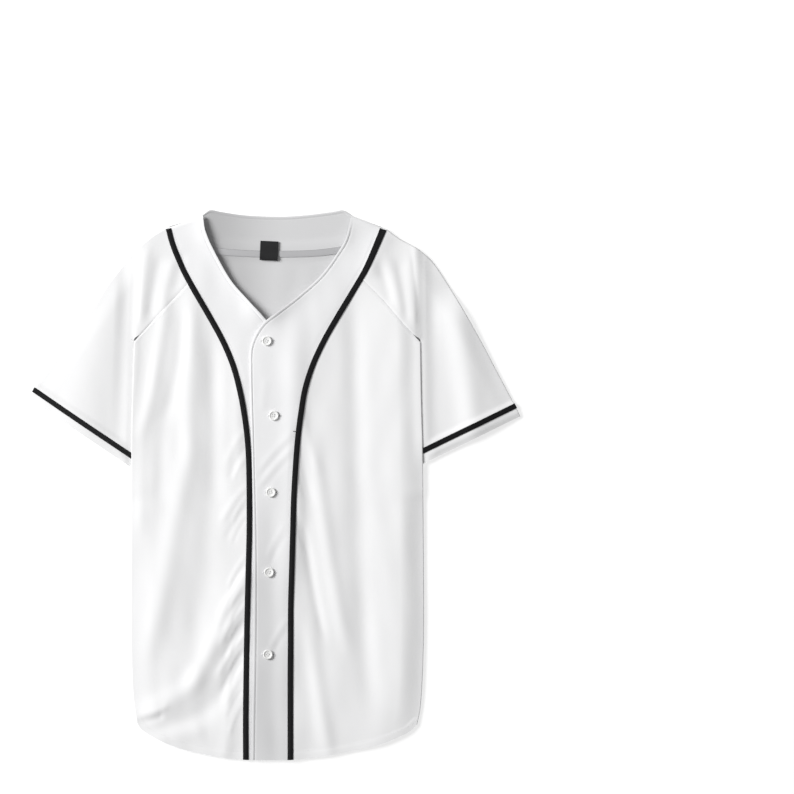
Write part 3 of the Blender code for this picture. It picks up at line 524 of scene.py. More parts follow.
def lowest_front(x, y):
    """Lowest middle line for the front cloth: over the back, or over the sleeve tucked between."""
    left = inside_side(-1, x, y)
    right = inside_side(1, x, y)
    near_side = np.minimum(left, right)
    # The tucked sleeve reaches up to 40 mm inside the side, from its cuff upwards
    beside_tuck = smooth(40.0, 29.0, near_side) * smooth(-22.0, -10.0, near_side)
    sleeve_under = beside_tuck * smooth(-25.0, -5.0, y)
    raised = side_rise(-1, left, y) + side_rise(1, right, y)
    return INNER_BACK + 0.15 + (OVER_SLEEVE - INNER_BACK) * sleeve_under + raised


def front_height(x, y, over=False):
    """Middle of the front cloth above the floor."""
    x = np.asarray(x, float)
    y = np.asarray(y, float)
    folds = fold_height(FRONT_FOLDS, x, y) * FOLD_SCALE + fold_height(FRONT_CREASES, x, y) * CREASE_SCALE
    level = FRONT_BASE + folds + fold_height(NECK_LIFT, x, y) + fine_waves(x, y)
    level = level - 1.6 * smooth(-330.0, -378.0, y)
    lowest = lowest_front(x, y)
    room = np.maximum(level - lowest, 0.0)
    level = lowest + np.sqrt(room ** 2 + 0.16) - 0.1
    if over:
        level = level + OVER_LIFT * smooth(52.0, 17.0, x)
    return level


def panel_height(side):
    """Middle of a front panel, rolled down to the layer below at the body's side."""
    def height(x, y):
        edge = lowest_front(x, y) - 0.1
        level = front_height(x, y, over=side > 0)
        inside = inside_side(side, x, y)
        kept = EDGE_SHARE[side] + (1.0 - EDGE_SHARE[side]) * smooth(-4.0, EDGE_REACH, inside)
        level = edge + (level - edge) * kept * round_edge(inside, EDGE_ROLL)
        hem = distance_to(HEM_LINE[side], x, y)
        level = level + 0.35 * smooth(HEM_DEPTH + 1.0, HEM_DEPTH, hem) - 0.3 * bell(hem, HEM_DEPTH, 0.9)
        seam = distance_to(RAGLAN_LINE[side], x, y)
        return level - 0.4 * bell(seam, 0.0, 1.1) + 0.12 * bell(seam, 2.6, 1.3)
    return height


def back_height(x, y):
    """Middle of the back cloth: on the floor, raised where the neck braid lies beneath it."""
    level = FLOOR_LAYER + BRAID_ROOM * smooth(17.0, 5.0, distance_to(NECK_LINE, x, y))
    return level + np.maximum(fold_height(BACK_FOLDS, x, y), 0.0)


def normals(grid):
    """Upward unit normal at each point of a grid."""
    down = np.gradient(grid, axis=0)
    across = np.gradient(grid, axis=1)
    n = np.cross(across, down)
    n /= np.linalg.norm(n, axis=2, keepdims=True) + 1e-12
    return n


def coons(u, v, start, end, first, last):
    """Places filled in between four border lines, each given for the shares it is asked at."""
    u3 = u[..., None]
    v3 = v[..., None]
    corner_a, corner_b = start(np.array([0.0, 1.0]))
    corner_c, corner_d = end(np.array([0.0, 1.0]))
    corners = ((1 - u3) * (1 - v3) * corner_a + u3 * (1 - v3) * corner_b
               + (1 - u3) * v3 * corner_c + u3 * v3 * corner_d)
    return (1 - u3) * first + u3 * last + (1 - v3) * start(u) + v3 * end(u) - corners


def part_of(line, low, high):
    """A stretch of a line between two shares, as a line of its own."""
    return lambda t: line(low + (high - low) * np.asarray(t))[..., :2]


def polyline(points):
    """Smooth line through an array of points."""
    return curve([tuple(p) for p in points])


def raise_grid(flat, height):
    """Adds a height to a grid of places."""
    z = height(flat[..., 0], flat[..., 1])
    return np.dstack([flat[..., 0], flat[..., 1], z])


def run_lengths(grid, axis):
    """Arc lengths of a grid along one way, from nothing at its start."""
    steps = np.linalg.norm(np.diff(grid, axis=axis), axis=2)
    total = np.cumsum(steps, axis=axis)
    pad = np.zeros_like(np.take(total, [0], axis=axis))
    return np.concatenate([pad, total], axis=axis)


def group_socket(tree, name, kind, direction, value=None):
    """One named socket of a node group."""
    made = tree.interface.new_socket(name=name, in_out=direction, socket_type=kind)
    if value is not None:
        made.default_value = value
    return made


def math_node(tree, operation, *values):
    """Output of a Math node whose inputs are numbers or other nodes' outputs."""
    made = tree.nodes.new("ShaderNodeMath")
    made.operation = operation
    for socket, value in zip(made.inputs, values):
        if isinstance(value, bpy.types.NodeSocket):
            tree.links.new(value, socket)
        else:
            socket.default_value = value
    return made.outputs["Value"]


def put_out_relief(tree, inner, outer, height):
    """Turns a height into a node group's normal, as deep as the group's Depth."""
    bump = tree.nodes.new("ShaderNodeBump")
    bump.inputs["Strength"].default_value = 1.0
    tree.links.new(inner.outputs["Depth"], bump.inputs["Distance"])
    tree.links.new(height, bump.inputs["Height"])
    tree.links.new(bump.outputs["Normal"], outer.inputs["Normal"])


def cloth_place(tree):
    """Place on the cloth in metres, from its own UV map."""
    place = tree.nodes.new("ShaderNodeUVMap")
    place.uv_map = "cloth"
    return place.outputs["UV"]


def knit_group():
    """Node group for the fine knit: upright wales crossed by courses, with a little fuzz."""
    tree = bpy.data.node_groups.new("fine_knit", "ShaderNodeTree")
    group_socket(tree, "Wales per metre", "NodeSocketFloat", "INPUT", 900.0)
    group_socket(tree, "Depth", "NodeSocketFloat", "INPUT", 0.00006)
    group_socket(tree, "Normal", "NodeSocketVector", "OUTPUT")
    inner = tree.nodes.new("NodeGroupInput")
    outer = tree.nodes.new("NodeGroupOutput")
    grow = tree.nodes.new("ShaderNodeVectorMath")
    grow.operation = "SCALE"
    tree.links.new(cloth_place(tree), grow.inputs[0])
    tree.links.new(inner.outputs["Wales per metre"], grow.inputs["Scale"])
    parts = tree.nodes.new("ShaderNodeSeparateXYZ")
    tree.links.new(grow.outputs["Vector"], parts.inputs["Vector"])
    courses_per_wale = 1.3
    wale = math_node(tree, "SINE", math_node(tree, "MULTIPLY", parts.outputs["X"], math.tau))
    course_turn = math_node(tree, "MULTIPLY", parts.outputs["Y"], math.tau * courses_per_wale)
    both = math_node(tree, "MULTIPLY_ADD", math_node(tree, "SINE", course_turn), 0.5, wale)
    fuzz = tree.nodes.new("ShaderNodeTexNoise")
    fuzz.inputs["Scale"].default_value = 0.35
    fuzz.inputs["Detail"].default_value = 2.0
    tree.links.new(grow.outputs["Vector"], fuzz.inputs["Vector"])
    put_out_relief(tree, inner, outer, math_node(tree, "MULTIPLY_ADD", fuzz.outputs["Fac"], 1.4, both))
    return tree


def braid_group():
    """Node group for the braid: slanted plaits either side of its middle."""
    tree = bpy.data.node_groups.new("braid_plait", "ShaderNodeTree")
    group_socket(tree, "Plaits per metre", "NodeSocketFloat", "INPUT", 620.0)
    group_socket(tree, "Slant", "NodeSocketFloat", "INPUT", 520.0)
    group_socket(tree, "Depth", "NodeSocketFloat", "INPUT", 0.00025)
    group_socket(tree, "Normal", "NodeSocketVector", "OUTPUT")
    inner = tree.nodes.new("NodeGroupInput")
    outer = tree.nodes.new("NodeGroupOutput")
    parts = tree.nodes.new("ShaderNodeSeparateXYZ")
    tree.links.new(cloth_place(tree), parts.inputs["Vector"])
    across = math_node(tree, "ABSOLUTE", parts.outputs["X"])
    slant = math_node(tree, "MULTIPLY", across, inner.outputs["Slant"])
    along = math_node(tree, "MULTIPLY_ADD", parts.outputs["Y"], inner.outputs["Plaits per metre"], slant)
    wave = math_node(tree, "SINE", math_node(tree, "MULTIPLY", along, math.tau))
    put_out_relief(tree, inner, outer, wave)
    return tree


def shade_group():
    """Node group that paints shade: it goes from one colour to another between two places along a way."""
    tree = bpy.data.node_groups.new("shade_along", "ShaderNodeTree")
    group_socket(tree, "Way", "NodeSocketVector", "INPUT", (1.0, 0.0, 0.0))
    group_socket(tree, "Start", "NodeSocketFloat", "INPUT", 0.0)
    group_socket(tree, "End", "NodeSocketFloat", "INPUT", 1.0)
    group_socket(tree, "First colour", "NodeSocketColor", "INPUT", (1.0, 1.0, 1.0, 1.0))
    group_socket(tree, "Last colour", "NodeSocketColor", "INPUT", (1.0, 1.0, 1.0, 1.0))
    group_socket(tree, "Color", "NodeSocketColor", "OUTPUT")
    inner = tree.nodes.new("NodeGroupInput")
    outer = tree.nodes.new("NodeGroupOutput")
    place = tree.nodes.new("ShaderNodeTexCoord")
    along = tree.nodes.new("ShaderNodeVectorMath")
    along.operation = "DOT_PRODUCT"
    tree.links.new(place.outputs["Object"], along.inputs[0])
    tree.links.new(inner.outputs["Way"], along.inputs[1])
    share = tree.nodes.new("ShaderNodeMapRange")
    share.interpolation_type = "SMOOTHSTEP"
    tree.links.new(along.outputs["Value"], share.inputs["Value"])
    tree.links.new(inner.outputs["Start"], share.inputs["From Min"])
    tree.links.new(inner.outputs["End"], share.inputs["From Max"])
    mix = tree.nodes.new("ShaderNodeMix")
    mix.data_type = "RGBA"
    tree.links.new(share.outputs["Result"], mix.inputs["Factor"])
    tree.links.new(inner.outputs["First colour"], mix.inputs["A"])
    tree.links.new(inner.outputs["Last colour"], mix.inputs["B"])
    tree.links.new(mix.outputs["Result"], outer.inputs["Color"])
    return tree


def shaded(made, way, start, end, first, last):
    """Paints shade into a material's colour, from one grey to another along a way."""
    tree = made.node_tree
    shade = tree.nodes.new("ShaderNodeGroup")
    shade.node_tree = SHADE
    shade.inputs["Way"].default_value = way
    shade.inputs["Start"].default_value = start
    shade.inputs["End"].default_value = end
    shade.inputs["First colour"].default_value = (first, first, first * 1.01, 1.0)
    shade.inputs["Last colour"].default_value = (last, last, last * 1.01, 1.0)
    tree.links.new(shade.outputs["Color"], tree.nodes["Principled BSDF"].inputs["Base Color"])
    return made


SHADE = shade_group()
KNIT = knit_group()
PLAIT = braid_group()


def material(name, rough, sheen=0.0, group=None, **settings):
    """Principled material of one colour, with a node group for its fine relief."""
    made = bpy.data.materials.new(name)
    made.use_nodes = True
    tree = made.node_tree
    shader = tree.nodes["Principled BSDF"]
    shader.inputs["Base Color"].default_value = (*COLOURS[name], 1.0)
    shader.inputs["Roughness"].default_value = rough
    shader.inputs["Specular IOR Level"].default_value = 0.25
    shader.inputs["Sheen Weight"].default_value = sheen
    shader.inputs["Sheen Roughness"].default_value = 0.5
    if group is not None:
        relief = tree.nodes.new("ShaderNodeGroup")
        relief.node_tree = group
        for socket, value in settings.items():
            relief.inputs[socket.replace("_", " ")].default_value = value
        tree.links.new(relief.outputs["Normal"], shader.inputs["Normal"])
    return made


MATERIALS = {
    "white_knit": material("white_knit", 0.86, 0.06, KNIT, Wales_per_metre=1300.0, Depth=0.000014),
    "inner_knit_painted_shade": material("inner_knit_painted_shade", 0.9, 0.0, KNIT, Wales_per_metre=1300.0, Depth=0.000014),
    "white_band": material("white_band", 0.82, 0.04, KNIT, Wales_per_metre=1500.0, Depth=0.00001),
    "black_braid": material("black_braid", 0.62, 0.0, PLAIT),
    "neck_tape": material("neck_tape", 0.86, 0.05, KNIT, Wales_per_metre=900.0, Depth=0.00003),
    "black_label": material("black_label", 0.7, 0.0, KNIT, Wales_per_metre=1400.0, Depth=0.00003),
    "white_button": material("white_button", 0.22),
    "thread": material("thread", 0.7),
    "slit": material("slit", 0.9),
}
# Painted shade: the inside of the back, seen through the neck, is darker than the outside, and darker still
# towards the viewer's left as painted shadow of the front's neck edge
shaded(MATERIALS["inner_knit_painted_shade"], (1.0, 0.0, 0.0), -0.1, 0.02, 0.46, 0.66)
# Painted shade: the bands grade from light at the neck to darker towards the hem
shaded(MATERIALS["white_band"], (0.0, 1.0, 0.0), -0.38, 0.2, 0.69, 0.85)


def dress(obj, slot, look=None):
    """Gives a piece its material, chosen by its look or else by its slot name, and its body."""
    obj.data.materials.append(MATERIALS[look or slot])
    bpy.context.scene.collection.objects.link(obj)
    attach(obj, "root")
    return obj


def cut_of(grid):
    """Width, length and area in metres of the cloth in a grid, before it was laid down."""
    width = float(run_lengths(grid, 1)[:, -1].max()) * MM
    length = float(run_lengths(grid, 0)[-1].max()) * MM
    a = grid[1:, 1:] - grid[:-1, :-1]
    b = grid[1:, :-1] - grid[:-1, 1:]
    area = float(0.5 * np.linalg.norm(np.cross(a, b), axis=2).sum()) * MM * MM
    return (width, length), min(max(area, 0.301 * width * length), width * length)


def cloth_object(name, grid, slot, wall=CLOTH, centre_column=None, look=None, inside=None):
    """Sheet from a grid of middle points, with its wall from a Solidify modifier.

    Its UV map is the place on the floor, or the lengths along a braid and across from its centre
    column. An inside look goes on the upper face, and the slot's own look on the lower one.
    """
    rows, cols = grid.shape[:2]
    places = grid.reshape(-1, 3) + TO_CENTRE
    faces = []
    for i in range(rows - 1):
        for j in range(cols - 1):
            a = i * cols + j
            faces.append((a, a + 1, a + cols + 1, a + cols))
    mesh = bpy.data.meshes.new(name)
    mesh.from_pydata([tuple(p) for p in places * MM], [], faces)
    across = grid[..., 0] * MM
    along = grid[..., 1] * MM
    if centre_column is not None:
        across = run_lengths(grid, 1) * MM
        across = across - across[:, centre_column:centre_column + 1]
        along = run_lengths(grid, 0) * MM
    uv = mesh.uv_layers.new(name="cloth")
    corner = np.empty(len(mesh.loops), dtype=np.int32)
    mesh.loops.foreach_get("vertex_index", corner)
    flat = np.stack([across.ravel()[corner], along.ravel()[corner]], axis=1)
    uv.data.foreach_set("uv", flat.ravel().astype(np.float32))
    mesh.shade_smooth()
    obj = bpy.data.objects.new(name, mesh)
    thick = obj.modifiers.new("wall", "SOLIDIFY")
    thick.thickness = wall * MM
    thick.offset = 0.0
    thick.use_even_offset = False
    edges = obj.modifiers.new("edges", "EDGE_SPLIT")
    edges.split_angle = math.radians(50.0)
    dress(obj, slot, look or inside)
    if inside is not None:
        obj.data.materials.append(MATERIALS[slot])
        thick.material_offset = 1
        thick.material_offset_rim = 1
    return obj


def panel_grid(side, both, rows, cols):
    """Front panel from its braid seam to the body's side, hem to raglan seam."""
    end = share_at(both, 1, RAGLAN[side][0][1])
    shares = np.linspace(0.0, end, rows)
    seam = both(shares)[:, :2]
    seam[-1] = RAGLAN[side][0]
    raglan = polyline(moved(RAGLAN_LINE[side](np.linspace(0.0, 1.0, 9)), SEAM, side))
    hem = HEM_LINE[side]
    seam_edge = moved(seam, SEAM, side)
    first = moved(seam, BRAID_HALF, side)
    seam_edge[-1] = raglan(SEAM / raglan.length)
    first[-1] = raglan(BRAID_HALF / raglan.length)
    seam_edge[0] = hem(SEAM / hem.length)
    first[0] = hem(BRAID_HALF / hem.length)
    outer = SIDE_LINE[side](np.linspace(0.0, 1.0, rows))
    outer[-1] = raglan(1.0)
    edge_part = 0.055
    roll = 1.0 - edge_part * (1.0 - np.linspace(0.0, 1.0, 14)[1:]) ** 1.7
    spread = np.concatenate([np.linspace(0.0, 1.0 - edge_part, cols), roll])
    even = np.linspace(0.0, 1.0, rows)
    u = np.tile(spread, (rows, 1))
    v = np.tile(even[:, None], (1, len(spread)))
    body = coons(u, v, part_of(hem, BRAID_HALF / hem.length, 1.0),
                 part_of(raglan, BRAID_HALF / raglan.length, 1.0), first[:, None], outer[:, None])
    return np.concatenate([seam_edge[:, None], body], axis=1), shares


def sleeve_rows(side, lengths, armhole):
    """Shares of a sleeve's outer and inner edges for its rows, cuff to neck, one at the armhole."""
    centre = CUFF_BRAID[side]
    lean = CUFF_LEAN[side]
    outer_length, inner_length = lengths
    hem = centre - BRAID_HALF
    near_cuff = np.concatenate([np.linspace(0.0, hem, 7), [centre, centre + BRAID_HALF]])
    up_outer = np.concatenate([np.linspace(centre + BRAID_HALF + 2.5, 0.4 * outer_length, LOW_ROWS),
                               np.linspace(0.4, 0.47, HOLE_ROWS + 1)[1:] * outer_length,
                               np.linspace(0.47, 0.54, HOLE_ROWS + 1)[1:-1] * outer_length,
                               np.linspace(0.54 * outer_length, outer_length - BRAID_HALF - 2.5, HIGH_ROWS)])
    up_inner = np.concatenate([np.linspace((centre + BRAID_HALF) / lean + 2.5, armhole[0], LOW_ROWS),
                               np.linspace(armhole[0], armhole[1], HOLE_ROWS + 1)[1:],
                               np.linspace(armhole[1], armhole[1] + 9.0, HOLE_ROWS + 1)[1:-1],
                               np.linspace(armhole[1] + 9.0, inner_length - BRAID_HALF - 2.5, HIGH_ROWS)])
    top = np.array([BRAID_HALF, 0.0])
    outer = np.concatenate([near_cuff, up_outer, outer_length - top]) / outer_length
    inner = np.concatenate([near_cuff / lean, up_inner, inner_length - top]) / inner_length
    return outer, inner


def cuff_bump(side, x, y):
    """One over the back of a cuff's braid, where both layers of the sleeve are pushed up."""
    near_braid = smooth(14.0, 5.5, distance_to(CUFF_LINE[side], x, y))
    return near_braid * smooth(-4.0, -20.0, inside_side(side, x, y))


def sleeve_front_height(side):
    """Middle of a sleeve's front layer: low beside the body, up on the body's front at the shoulder."""
    def height(x, y):
        inside = inside_side(side, x, y)
        low = INNER_FRONT + 0.9 * smooth(0.0, -10.0, inside) + (BRAID_ROOM + 0.3) * cuff_bump(side, x, y)
        low = low + fold_height(SLEEVE_FOLDS[side], x, y) * smooth(-6.0, -30.0, inside) * FOLD_SCALE
        low = low + side_rise(side, inside, y)
        low = low + (fine_waves(x, y) * 0.5 + 0.3) * smooth(-3.0, -16.0, inside)
        low = low - 1.3 * smooth(26.0, 0.0, distance_to(OUTER_LINE[side], x, y))
        beside = smooth(1.0, -5.0, inside)
        step = smooth(-8.0, 8.0, inside) * smooth(199.0 - 22.0 * beside, 203.0 + 16.0 * beside, y)
        level = low + (front_height(x, y) - low) * step
        seam = distance_to(RAGLAN_LINE[side], x, y)
        return level - 0.4 * bell(seam, 0.0, 1.1)
    return height


def sleeve_back_height(side):
    """Middle of a sleeve's back layer: on the floor, tucked over the back panel below the armhole."""
    def height(x, y):
        tucked = smooth(-26.0, -13.0, inside_side(side, x, y)) * smooth(264.0, 242.0, y)
        level = back_height(x, y) + (INNER_BACK - FLOOR_LAYER) * tucked
        return level + (BRAID_ROOM + 0.3) * cuff_bump(side, x, y)
    return height


def sleeve_seams(side, both, junction):
    """Borders of a sleeve: hidden edge, neck seam, raglan seams at the front and the back, back neck."""
    hidden = curve(SLEEVE_INNER[side])(np.linspace(0.0, 1.0, 8))
    neck = polyline(moved(both(np.linspace(1.0, junction, 30))[:, :2], SEAM, -side))
    raglan = moved(RAGLAN_LINE[side](np.linspace(0.0, 1.0, 9)), -SEAM, side)[::-1]
    raglan[0] = raglan[0] + np.array([0.4 * side, 0.3])
    raglan[-1] = neck.dense[-1]
    back_raglan = moved(curve(BACK_RAGLAN[side])(np.linspace(0.0, 1.0, 9)), -4.0 * SEAM, side)[::-1]
    back_raglan[0] = back_raglan[0] + np.array([2.4 * side, 0.6])
    if side < 0:
        neck_back = moved(NECK_LINE(np.linspace(0.03, NECK_LOW, 5)), 5.0 * SEAM, 1)
    else:
        neck_back = moved(NECK_LINE(np.linspace(NECK_HIGH, 0.97, 5)), 5.0 * SEAM, 1)[::-1]
    back_raglan[-1] = 0.5 * (back_raglan[-1] + neck_back[-1])
    return hidden, neck, raglan, back_raglan, neck_back


def sleeve_columns(side, edge, shoulder, inner):
    """Shares across a sleeve's front layer for its columns, which crowd where the body's side runs."""
    body_side = SIDE_LINE[side].dense
    cross = np.interp(edge[:, 1], body_side[:, 1], body_side[:, 0])
    reach = (cross - shoulder[:, 0]) / (inner[:, 0] - shoulder[:, 0])
    reach = np.clip(reach, 0.22, 0.78)
    window = 21
    padded = np.pad(reach, window // 2, mode="edge")
    reach = np.convolve(padded, np.ones(window) / window, mode="valid")
    narrow = 2.4 / np.linalg.norm(inner - shoulder, axis=1)
    low = reach - narrow
    high = reach + narrow * 1.6
    before = np.linspace(0.0, 1.0, 44)[None, :] * low[:, None]
    step = low[:, None] + np.linspace(0.0, 1.0, 7)[None, 1:-1] * (high - low)[:, None]
    after = high[:, None] + np.linspace(0.0, 1.0, 26)[None, :] * (1.0 - high)[:, None]
    return np.concatenate([before, step, after], axis=1)


def outer_fold(shoulder, inward, radius, front, back):
    """Columns that turn round a sleeve's outer fold, from its back layer to its front layer."""
    middle = 0.5 * (front[:, 0, 2] + back[:, 0, 2])
    half = 0.5 * (front[:, 0, 2] - back[:, 0, 2])
    turns = []
    for angle in np.linspace(-78.0, 78.0, 11):
        out = math.cos(math.radians(angle))
        place = shoulder - inward * (radius * out)[:, None]
        turns.append(np.column_stack([place, middle + half * math.sin(math.radians(angle))]))
    return np.stack(turns, axis=1)


def sleeve_grid(side, both):
    """Sleeve as one sheet: hidden inner edge, back layer, outer fold, front layer, inner edge."""
    outer_line = OUTER_LINE[side]
    junction = share_at(both, 1, RAGLAN[side][0][1])
    hidden, neck, raglan, back_raglan, neck_back = sleeve_seams(side, both, junction)
    inner_front = polyline(np.vstack([hidden, raglan]))
    inner_back = polyline(np.vstack([hidden, back_raglan]))
    tuck_end = curve(SLEEVE_INNER[side]).length
    front_hole = tuck_end + float(np.linalg.norm(raglan[0] - hidden[-1]))
    back_hole = tuck_end + float(np.linalg.norm(back_raglan[0] - hidden[-1]))
    rows_out, rows_front = sleeve_rows(side, (outer_line.length, inner_front.length), (tuck_end, front_hole))
    _, rows_back = sleeve_rows(side, (outer_line.length, inner_back.length), (tuck_end, back_hole))
    edge = outer_line(rows_out)
    radius = 0.8 + 0.8 * smooth(190.0, 330.0, edge[:, 1])
    along = np.gradient(edge, axis=0)
    along /= np.linalg.norm(along, axis=1, keepdims=True)
    inward = np.stack([along[:, 1], -along[:, 0]], axis=1) * -side
    shoulder = edge + inward * radius[:, None]
    from_fold = radius[-1] / neck.length
    shoulder[-1] = neck(from_fold)
    cuff_line = polyline(np.linspace(shoulder[0], hidden[0], 4))
    inner = inner_front(rows_front)
    u = sleeve_columns(side, edge, shoulder, inner)
    v = np.tile(rows_out[:, None], (1, u.shape[1]))
    front = coons(u, v, part_of(cuff_line, 0.0, 1.0), part_of(neck, from_fold, 1.0),
                  shoulder[:, None], inner[:, None])
    back_top = polyline(np.vstack([shoulder[-1:], neck_back[:-1], back_raglan[-1:]]))
    back_cols = np.concatenate([np.linspace(0.0, 0.72, 22), np.linspace(0.72, 1.0, 14)[1:]])
    u_back, v_back = np.meshgrid(back_cols, rows_out)
    back = coons(u_back, v_back, part_of(cuff_line, 0.0, 1.0), part_of(back_top, 0.0, 1.0),
                 shoulder[:, None], inner_back(rows_back)[:, None])
    front = raise_grid(front, sleeve_front_height(side))
    back = raise_grid(back, sleeve_back_height(side))
    fold = outer_fold(shoulder, inward, radius, front, back)
    grid = np.concatenate([back[:, ::-1], fold, front], axis=1)
    shares = 1.0 - (1.0 - junction) * (from_fold + (1.0 - from_fold) * u[-1])
    return grid, shares[::-1], front.shape[1]


def band_grid(side, both, shares, over):
    """Placket and neck band from its braid seam to its neck edge, with a stitched, rolled edge."""
    rows = both(shares)
    seam = rows[:, :2]
    edge = rows[:, 2:]
    start = moved(seam, BRAID_HALF, -side)
    start[0] = seam[0] + np.array([-side * BRAID_HALF, 0.0])
    width = np.linalg.norm(edge - start, axis=1)
    near_edge = np.array([9.0, 7.6, 6.4, 5.4, 4.7, 4.2, 3.7, 3.1, 2.4, 1.6, 0.9, 0.4, 0.0])
    shown = np.minimum(1.0, smooth(0.0, 26.0, both.length * (1.0 - shares)) + 0.001)
    cols = [moved(seam, SEAM, -side)]
    from_edge = [width]
    for k in np.linspace(0.0, 1.0, 20)[:-1]:
        share = k * (width - near_edge[0]) / width
        cols.append(start + (edge - start) * share[:, None])
        from_edge.append(width * (1.0 - share))
    for e in near_edge:
        share = 1.0 - e / width
        cols.append(start + (edge - start) * share[:, None])
        from_edge.append(np.full(len(width), e))
    grid = raise_grid(np.stack(cols, axis=1), lambda x, y: front_height(x, y, over))
    e = np.stack(from_edge, axis=1)
    if over:
        rim = 0.5 * bell(e, *RIM_RIDGE) - 0.3 * bell(e, *SOFT_GROOVE)
    else:
        rim = 0.5 * bell(e, *RIM_RIDGE) - 0.4 * bell(e, *RIM_GROOVE)
        rim = rim * smooth(196.0, 206.0, grid[..., 1])
    line = width[:, None] - e + BRAID_HALF
    stitched = -0.32 * bell(line, 6.6, 0.8)
    grid[..., 2] += (rim + stitched) * shown[:, None]
    run = both.length * (1.0 - shares)
    roll = round_edge(run, 4.5)[:, None]
    low = SHOULDER_FOLD + SHOULDER_GAP
    grid[..., 2] = low + (grid[..., 2] - low) * roll
    return grid


def back_panel_grid():
    """Back panel from hem to raglan seams and neck seam."""
    left = np.array([(x + 0.6, y + 2.0) for x, y in SIDE[-1]])
    right = np.array([(x - 0.6, y + 2.0) for x, y in SIDE[1]])
    left = polyline(np.vstack([left, [BACK_RAGLAN[-1][-1]]]))
    right = polyline(np.vstack([right, [BACK_RAGLAN[1][-1]]]))
    hem_points = np.array(HEM[-1][::-1] + HEM[1])
    hem_points = hem_points + np.array([0.0, 3.0])
    hem_points[0] = left(0.0)
    hem_points[-1] = right(0.0)
    hem = polyline(hem_points)
    top = np.vstack([curve(BACK_RAGLAN[-1])(np.linspace(1.0, 0.0, 20))[:-1],
                     NECK_LINE(NECK_SHARES[13:104]),
                     curve(BACK_RAGLAN[1])(np.linspace(0.0, 1.0, 20))[1:]])
    strip = [moved(top, d, 1) for d in (TAPE_WIDTH, 0.5 * (TAPE_WIDTH + BRAID_HALF), BRAID_HALF, SEAM)]
    base = strip[0]
    corner_drops = (12.0, 8.5, 5.0)
    for row, drop in zip(strip, corner_drops):
        row[0] = left(1.0) - np.array([0.0, drop])
        row[-1] = right(1.0) - np.array([0.0, drop])
    rows = np.concatenate([np.linspace(0.0, 0.7, 30), np.linspace(0.7, 1.0, 56)[1:]])
    cols = np.linspace(0.0, 1.0, len(base))
    u, v = np.meshgrid(cols, rows)
    index = np.arange(len(base)) / (len(base) - 1)

    def along_base(t):
        return np.stack([np.interp(t, index, base[:, k]) for k in (0, 1)], axis=-1)

    first = part_of(left, 0.0, 1.0 - corner_drops[0] / left.length)(rows)
    last = part_of(right, 0.0, 1.0 - corner_drops[0] / right.length)(rows)
    body = coons(u, v, part_of(hem, 0.0, 1.0), along_base, first[:, None], last[:, None])
    flat = np.concatenate([body[:-1], np.stack(strip, axis=0)], axis=0)
    return raise_grid(flat, back_height)


def back_band_grid():
    """Back neck band from its seam to its top edge, shoulder to shoulder."""
    shares = NECK_SHARES
    seam = NECK_LINE(shares)
    half = np.minimum(shares, 1.0 - shares)
    warped = 0.5 * (2.0 * half) ** 1.3
    top = curve(NECK_TOP)(np.where(shares < 0.5, warped, 1.0 - warped))
    start = moved(seam, SEAM, -1)
    second = moved(seam, BRAID_HALF, -1)
    steps = np.concatenate([np.linspace(0.0, 0.84, 12), np.linspace(0.84, 1.0, 11)[1:]])
    rows = [start] + [second + (top - second) * k for k in steps]
    grid = raise_grid(np.stack(rows, axis=0), back_height)
    height = np.linalg.norm(top - second, axis=1)
    e = (1.0 - np.concatenate([[0.0], steps]))[:, None] * height[None, :]
    fade = smooth(4.0, 14.0, height)[None, :]
    grid[..., 2] += (0.55 * bell(e, *RIM_RIDGE) - 0.2 * bell(e, *RIM_GROOVE)) * fade
    run = NECK_LINE.length * np.minimum(shares, 1.0 - shares)
    roll = smooth(0.0, 9.0, run)[None, :]
    high = SHOULDER_FOLD - SHOULDER_GAP
    grid[..., 2] = high + (grid[..., 2] - high) * roll
    return grid


def on_top(grid, distance):
    """Points of a sheet moved out along its normals."""
    return grid + normals(grid) * distance


def plaited(strip, axis):
    """Braid's cross section on a strip of three lines: two soft ridges beside a groove."""
    lines = np.moveaxis(strip, axis, 0)
    shares = np.linspace(-1.0, 1.0, 13)
    out = []
    for s in shares:
        start, end = (lines[0], lines[1]) if s < 0 else (lines[1], lines[2])
        t = s + 1.0 if s < 0 else s
        row = start + (end - start) * t
        ridge = BRAID_RIDGE * math.sqrt(max(0.0, 1.0 - s ** 4))
        row[..., 2] += ridge - BRAID_GROOVE * math.exp(-(s / 0.16) ** 2)
        out.append(row)
    return np.moveaxis(np.stack(out, axis=0), 0, axis)


def front_braid_grid(side, panel, band, sleeve, front_cols):
    """Braid over the seam of a front panel, then of the sleeve, against the band."""
    outer_sleeve = sleeve[-2, -front_cols:][::-1]
    seam_sleeve = sleeve[-1, -front_cols:][::-1]
    outer = np.vstack([panel[:, 1], outer_sleeve[1:]])
    seam = np.vstack([panel[:, 0], seam_sleeve[1:]])
    count = len(outer)
    middle = 0.5 * (seam + band[:count, 0])
    inner = band[:count, 1]
    strip = np.stack([outer, middle, inner], axis=1)
    level = strip[..., 2].mean(axis=1, keepdims=True)
    strip[..., 2] = 0.5 * strip[..., 2] + 0.5 * level
    if side > 0:
        strip = strip[:, ::-1]
    return strip


